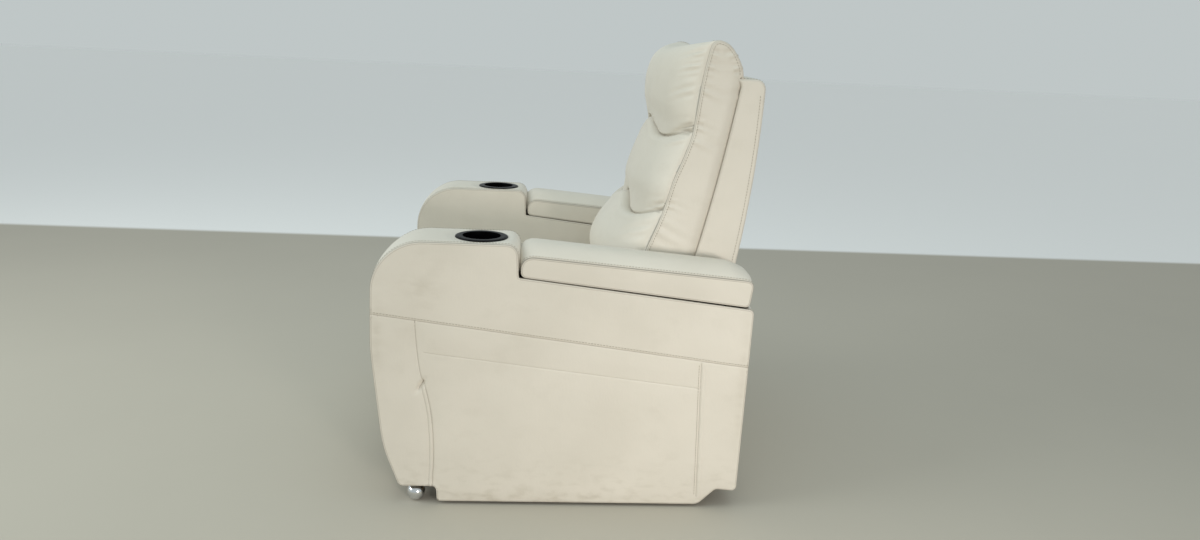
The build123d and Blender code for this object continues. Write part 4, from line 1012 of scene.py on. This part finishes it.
def back_cushion():
    """The three pillows as one cover: full in front, creased twice, with a gusset on each side, its creases
    and pleats darkened with painted shade.
    """
    stations = np.array(BACK_STATIONS) / 1000
    side = smooth_path(stations[:, 0], STATION_POINTS)
    middle = smooth_path(stations[:, 1], STATION_POINTS)
    x1 = CUSHION_X - 0.003
    across = spaced(-x1, x1, (-x1, x1), 0.009)
    share = np.abs(across) / x1
    weight = np.clip(1 - share**2.2, 0, 1) ** 0.6
    line = side[None] + weight[:, None, None] * (middle - side)[None]
    points = np.zeros((len(across), len(side), 3))
    points[:, :, 0] = across[:, None]
    points[:, :, 1:] = line
    # mark is the dark seam colour at each point: the tucked side seams, and painted shade in the creases
    # and pleats
    mark = np.zeros((len(across), len(side)))
    sag = CREASE_SAG * np.clip(1 - ((share - SAG_PLACE) / SAG_HALF) ** 2, 0, 1) ** 1.2
    for column, full in enumerate(weight):
        out = normals_left(line[column])
        at = lengths(line[column])
        away = x1 - abs(across[column])
        folded = pleats(line[column][:, 1], away)
        form = gathers(line[column][:, 1], away) - folded
        # Painted shade: the pleats' folds are darkened, more where they are deeper
        mark[column] += np.clip(70 * folded, 0, 0.4)
        for crease in CREASES:
            gap = at - at[crease * STATION_POINTS] + sag[column]
            form -= CREASE_DEPTH * (0.3 + 0.7 * full) * np.exp(-np.sqrt(gap**2 + 4e-6) / CREASE_WIDTH)
            # Painted shade: the bottom of each crease is darkened
            mark[column] += 0.45 * (0.4 + 0.6 * full) * bell(gap, 0.003)
            form += CREASE_LIP * full * bell(gap + 0.020, 0.014)
            points[column, :, 2] -= CREASE_HANG * full * bell(gap - 0.018, 0.014)
        points[column, :, 1:] += out * form[:, None]
    brow = np.clip((points[:, :, 2] - 1.02) / 0.08, 0, 1)
    points[:, :, 2] -= BROW_DIP * brow * ((1 - share**2) ** 1.5)[:, None]
    spread = points.reshape(-1, 3)
    wave = 0.004 * ripple(spread, 5.0, 9) + 0.0012 * ripple(spread, 15.0, 10)
    spread[:, 1] -= wave * np.repeat(weight, len(side))
    tuck = points[[0, -1]].copy()
    tuck[:, :, 1:] += 0.06 * (side.mean(0) - tuck[:, :, 1:])
    points = np.concatenate([tuck[:1], points, tuck[1:]])
    faces = tube_faces(len(points), len(side))
    mark = np.pad(mark, ((1, 1), (0, 0)), constant_values=1)
    front = piece("back_front", points.reshape(-1, 3), faces, leather, mark.reshape(-1))
    seam = side[STATION_POINTS:]
    rear = [(wing_front(z) + ROLL_UNDER, z) for z in np.linspace(1.031, 0.462, 80)]
    loop = np.vstack([seam, rear])[::-1]

    def folds(flat):
        """Gathers on the gusset, which rolls in under the shell's side."""
        roll = np.clip((flat[:, 0] - wing_front(flat[:, 1]) + ROLL_BEFORE) / (ROLL_BEFORE + 0.004), 0, 1)
        return 0.8 * gathers(flat[:, 1], distance_to(seam, flat)) - ROLL_DEPTH * roll**2

    gussets = [
        side_cover("gusset_l", loop, CUSHION_X + 0.001, 1, seed=11, shape=folds, **GUSSET),
        side_cover("gusset_r", loop, -CUSHION_X - 0.001, -1, seed=12, shape=folds, **GUSSET),
    ]
    cover = joined("back_cushion", [front, *gussets])
    pinched(cover, seam)
    inner = normals_left(seam)
    for x, shift in ((CUSHION_X + 0.001, 0.008), (x1 - 0.008, 0.0)):
        sew(cover, at_x(x, seam - inner * shift), "backrest")
    return cover


cushion = back_cushion()
dress(cushion, "backrest", "head_pillow", "middle_pillow", "lumbar_pillow", fill=0.75)

# Shell behind the cushion

SHELL_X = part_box("back_wings")[1].x
WING_SIDE = {"edge": 0.006, "depth": 0.012, "puff": 0.0015, "bound": 0.3}
wing_loop = node_outline("back_wings", SHELL_X)
panel_loop = node_outline("back_panel", SHELL_X)
panel_turn = next(i for i, (y, z) in enumerate(panel_loop) if z > 1.030 and y < 0.39)
panel_path = along(panel_loop, np.linspace(0.002, lengths(panel_loop)[panel_turn], 400))
wing_top = min((i for i, (y, z) in enumerate(wing_loop) if z > 1.0160), key=lambda i: wing_loop[i][0])
shell_loop = np.vstack([panel_path, wing_loop[wing_top:], wing_loop[:1]])
wings = [
    side_cover("wing_left", shell_loop, SHELL_X, 1, seed=13, **WING_SIDE),
    side_cover("wing_right", shell_loop, -SHELL_X, -1, seed=14, **WING_SIDE),
]
wing_covers = joined("back_wing_covers", wings)
rear_edge = panel_path[(panel_path[:, 1] > 0.39) & (panel_path[:, 1] < 1.0)]
sew(wing_covers, at_x(SHELL_X, rear_edge - (0.012, 0)), "backrest")
dress(wing_covers, "backrest", "back_wings", fill=0.9)
panel_x = (SEAM_INSET - SHELL_X, SHELL_X - SEAM_INSET)
panel = strip("back_panel_cover", panel_path, *panel_x, 0.004, STRIP_EDGE, seed=15, dive=0.012)
sew(panel, at_x(SHELL_X - 0.011, panel_path), "backrest")
dress(panel, "backrest", "back_panel", fill=0.9)

# Seat and footrest pads, blown up as cloth

PRESSURE = 4.0
STIFFNESS = 8.0
BENDING = 1.0
CLOTH_FRAMES = 20
# The seam near each side of a pad: its place, depth and width, and its two rows of stitches
PAD_SEAM = 0.262
PAD_SEAM_DEPTH = 0.004
PAD_SEAM_WIDTH = 0.006
PAD_SEAM_LINE = 0.0022
PAD_STITCHES = (0.256, 0.268)


def swollen(name, node, voxel, cap, held):
    """A pad made from its solid: remeshed, blown up as cloth except where it is held, then smoothed."""
    obj = placed(name, nodes[node].data.copy())
    obj.data.materials.clear()
    remesh = obj.modifiers.new("remesh", "REMESH")
    remesh.mode = "VOXEL"
    remesh.voxel_size = voxel
    settle(obj)
    start = positions(obj.data)
    group = obj.vertex_groups.new(name="held")
    group.add([int(i) for i in np.nonzero(held(start))[0]], 1.0, "REPLACE")
    cloth = obj.modifiers.new("cloth", "CLOTH").settings
    cloth.use_pressure = True
    cloth.uniform_pressure_force = PRESSURE
    cloth.effector_weights.gravity = 0.0
    cloth.vertex_group_mass = "held"
    cloth.tension_stiffness = STIFFNESS
    cloth.compression_stiffness = STIFFNESS
    cloth.bending_stiffness = BENDING
    for step in range(1, CLOTH_FRAMES + 1):
        scene.frame_set(step)
    settle(obj)
    scene.frame_set(1)
    move = positions(obj.data) - start
    size = np.maximum(np.linalg.norm(move, axis=1), 1e-9)
    move *= (np.minimum(size, cap) / size)[:, None]
    reshape(obj.data, start + move)
    obj.vertex_groups.clear()
    smooth = obj.modifiers.new("smooth", "CORRECTIVE_SMOOTH")
    smooth.use_only_smooth = True
    smooth.iterations = 6
    obj.modifiers.new("fine", "SUBSURF").levels = 1
    settle(obj)
    obj.data.materials.append(leather)
    obj.data.shade_smooth()
    return obj


def settle(obj):
    """Turns an object's modifiers into its mesh."""
    bpy.context.view_layer.update()
    shown = obj.evaluated_get(bpy.context.evaluated_depsgraph_get())
    mesh = bpy.data.meshes.new_from_object(shown)
    obj.modifiers.clear()
    obj.data = mesh


def sewn(obj, shows):
    """Presses a seam into a pad near each side, on those of its points that show."""
    mesh = obj.data
    points = positions(mesh)
    away = np.where(shows(points), np.abs(np.abs(points[:, 0]) - PAD_SEAM), 1.0)
    points -= positions(mesh, "normal") * (PAD_SEAM_DEPTH * bell(away, PAD_SEAM_WIDTH))[:, None]
    reshape(mesh, points)
    mark_points(mesh, "seam", bell(away, PAD_SEAM_LINE))


SEAT_LOW, SEAT_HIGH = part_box("seat_cushion")
seat = swollen("seat_cushion_cover", "seat_cushion", 0.007, 0.012, lambda p: p[:, 2] < SEAT_LOW.z + 0.012)
sewn(seat, lambda p: p[:, 2] > SEAT_LOW.z + 0.02)
for x in PAD_STITCHES:
    run = np.array([(SEAT_LOW.y - 0.01, SEAT_LOW.z + 0.03), (SEAT_LOW.y, SEAT_HIGH.z), (0.10, SEAT_HIGH.z)])
    sew(seat, at_x(x, run, 300), "base")
dress(seat, "base", "seat_cushion", fill=0.7)

FOOT_LOW, FOOT_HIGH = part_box("footrest_pad")
foot = swollen("footrest_pad_cover", "footrest_pad", 0.006, 0.010, lambda p: p[:, 1] > FOOT_HIGH.y - 0.010)
sewn(foot, lambda p: p[:, 1] < FOOT_HIGH.y - 0.02)
for x in PAD_STITCHES:
    run = np.array([(FOOT_LOW.y, FOOT_LOW.z + 0.02), (FOOT_LOW.y, FOOT_HIGH.z - 0.02)])
    sew(foot, at_x(x, run, 200), "footrest")
dress(foot, "footrest", "footrest_pad", fill=0.7)

# Leather on the front of the seat's rails

RAIL_LOW, RAIL_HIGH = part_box("seat_side_rails")
valance_path = np.array([(RAIL_LOW.y - 0.0004, z) for z in np.linspace(RAIL_HIGH.z, RAIL_LOW.z, 40)])
valance = strip("seat_valance", valance_path, RAIL_LOW.x, RAIL_HIGH.x, 0.001, 0.001, seed=17, dive=0.001)
dress(valance, "base")

# Rear apron

APRON_LOW, APRON_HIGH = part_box("rear_apron")
apron_path = np.array([(APRON_HIGH.y - 0.002, z) for z in np.linspace(APRON_LOW.z, APRON_HIGH.z, 60)])
apron = strip("rear_apron_cover", apron_path, APRON_LOW.x, APRON_HIGH.x, 0.003, 0.005, seed=16, dive=0.009)
dress(apron, "base", "rear_apron", fill=0.9)
make_stitches()

# Camera, light and floor

CAMERA_PLACE = (2.3928, -0.0739, 1.0863)
CAMERA_LENS = 26.19
CAMERA_YAW = 4.15
CAMERA_PITCH = 14.21
CAMERA_ROLL = 2.81
STAGE_REACH = 40.0
FLOOR = (0.50, 0.465, 0.395)
# Beyond this x the floor is the backdrop
FLOOR_END = -2.5
BACKDROP = (0.97, 0.97, 0.965)
KEY_COLOUR = (1.0, 0.945, 0.885)
KEY_SPREAD = math.radians(80)
FILL_COLOUR = (0.95, 1.0, 0.965)
TOP_COLOUR = (0.76, 1.0, 1.03)
SURROUND = (0.92, 1.0, 1.0)
SURROUND_STRENGTH = 0.57


def make_camera():
    """The camera at the photograph's place."""
    yaw, pitch, roll = (math.radians(a) for a in (CAMERA_YAW, CAMERA_PITCH, CAMERA_ROLL))
    level = Vector((-math.cos(yaw), math.sin(yaw), 0))
    right = Vector((math.sin(yaw), math.cos(yaw), 0))
    forward = math.cos(pitch) * level - math.sin(pitch) * Vector((0, 0, 1))
    up = right.cross(forward)
    turned_right = math.cos(roll) * right + math.sin(roll) * up
    turned_up = math.cos(roll) * up - math.sin(roll) * right
    data = bpy.data.cameras.new("camera")
    data.lens = CAMERA_LENS
    data.clip_start = 0.05
    data.clip_end = 60
    camera = placed("camera", data)
    turn = Matrix((turned_right, turned_up, -forward)).transposed()
    camera.matrix_world = Matrix.Translation(CAMERA_PLACE) @ turn.to_4x4()
    scene.camera = camera


def area_light(name, place, target, size, power, colour, spread=math.pi):
    """A soft square light aimed at a point."""
    data = bpy.data.lights.new(name, "AREA")
    data.shape = "SQUARE"
    data.size = size
    data.energy = power
    data.color = colour
    data.spread = spread
    light = placed(name, data)
    light.location = place
    light.rotation_euler = (Vector(target) - Vector(place)).to_track_quat("-Z", "Y").to_euler()


def make_stage():
    """A pale floor that turns into a paler backdrop beyond the chair."""
    corners = [Vector((x, y, 0)) * STAGE_REACH for x, y in ((-1, -1), (1, -1), (1, 1), (-1, 1))]
    mesh = bpy.data.meshes.new("floor")
    mesh.from_pydata(corners, [], [(0, 1, 2, 3)])
    material, tree, shader = new_material("floor", FLOOR, 0.8)
    beyond = ranged(tree, place_along(tree, "X"), 0, 1, FLOOR_END + 0.03, FLOOR_END - 0.03)
    soft = texture(tree, "Noise", 1.3, Detail=5.0)
    near = mixed(tree, soft, FLOOR, tuple(c * 0.93 for c in FLOOR))
    tree.links.new(mixed(tree, beyond, near, BACKDROP), shader.inputs["Base Color"])
    mesh.materials.append(material)
    placed("floor", mesh)


def make_light():
    """A low warm key from the camera's side, cooler light in front and above, and an even surround."""
    world = bpy.data.worlds.new("studio")
    world.use_nodes = True
    sky = world.node_tree.nodes["Background"]
    sky.inputs["Color"].default_value = (*SURROUND, 1)
    sky.inputs["Strength"].default_value = SURROUND_STRENGTH
    scene.world = world
    area_light("key", (3.3, 1.25, 0.72), (0.2, 0.2, 0.14), 0.55, 9.2, KEY_COLOUR, KEY_SPREAD)
    area_light("fill", (0.9, -3.4, 2.2), (0, 0.1, 0.7), 2.4, 60, FILL_COLOUR)
    area_light("top", (0.4, 0.2, 3.4), (0, 0, 0.4), 2.6, 15, TOP_COLOUR)
    scene.view_settings.view_transform = "Standard"


make_camera()
make_stage()
make_light()
bpy.context.view_layer.update()
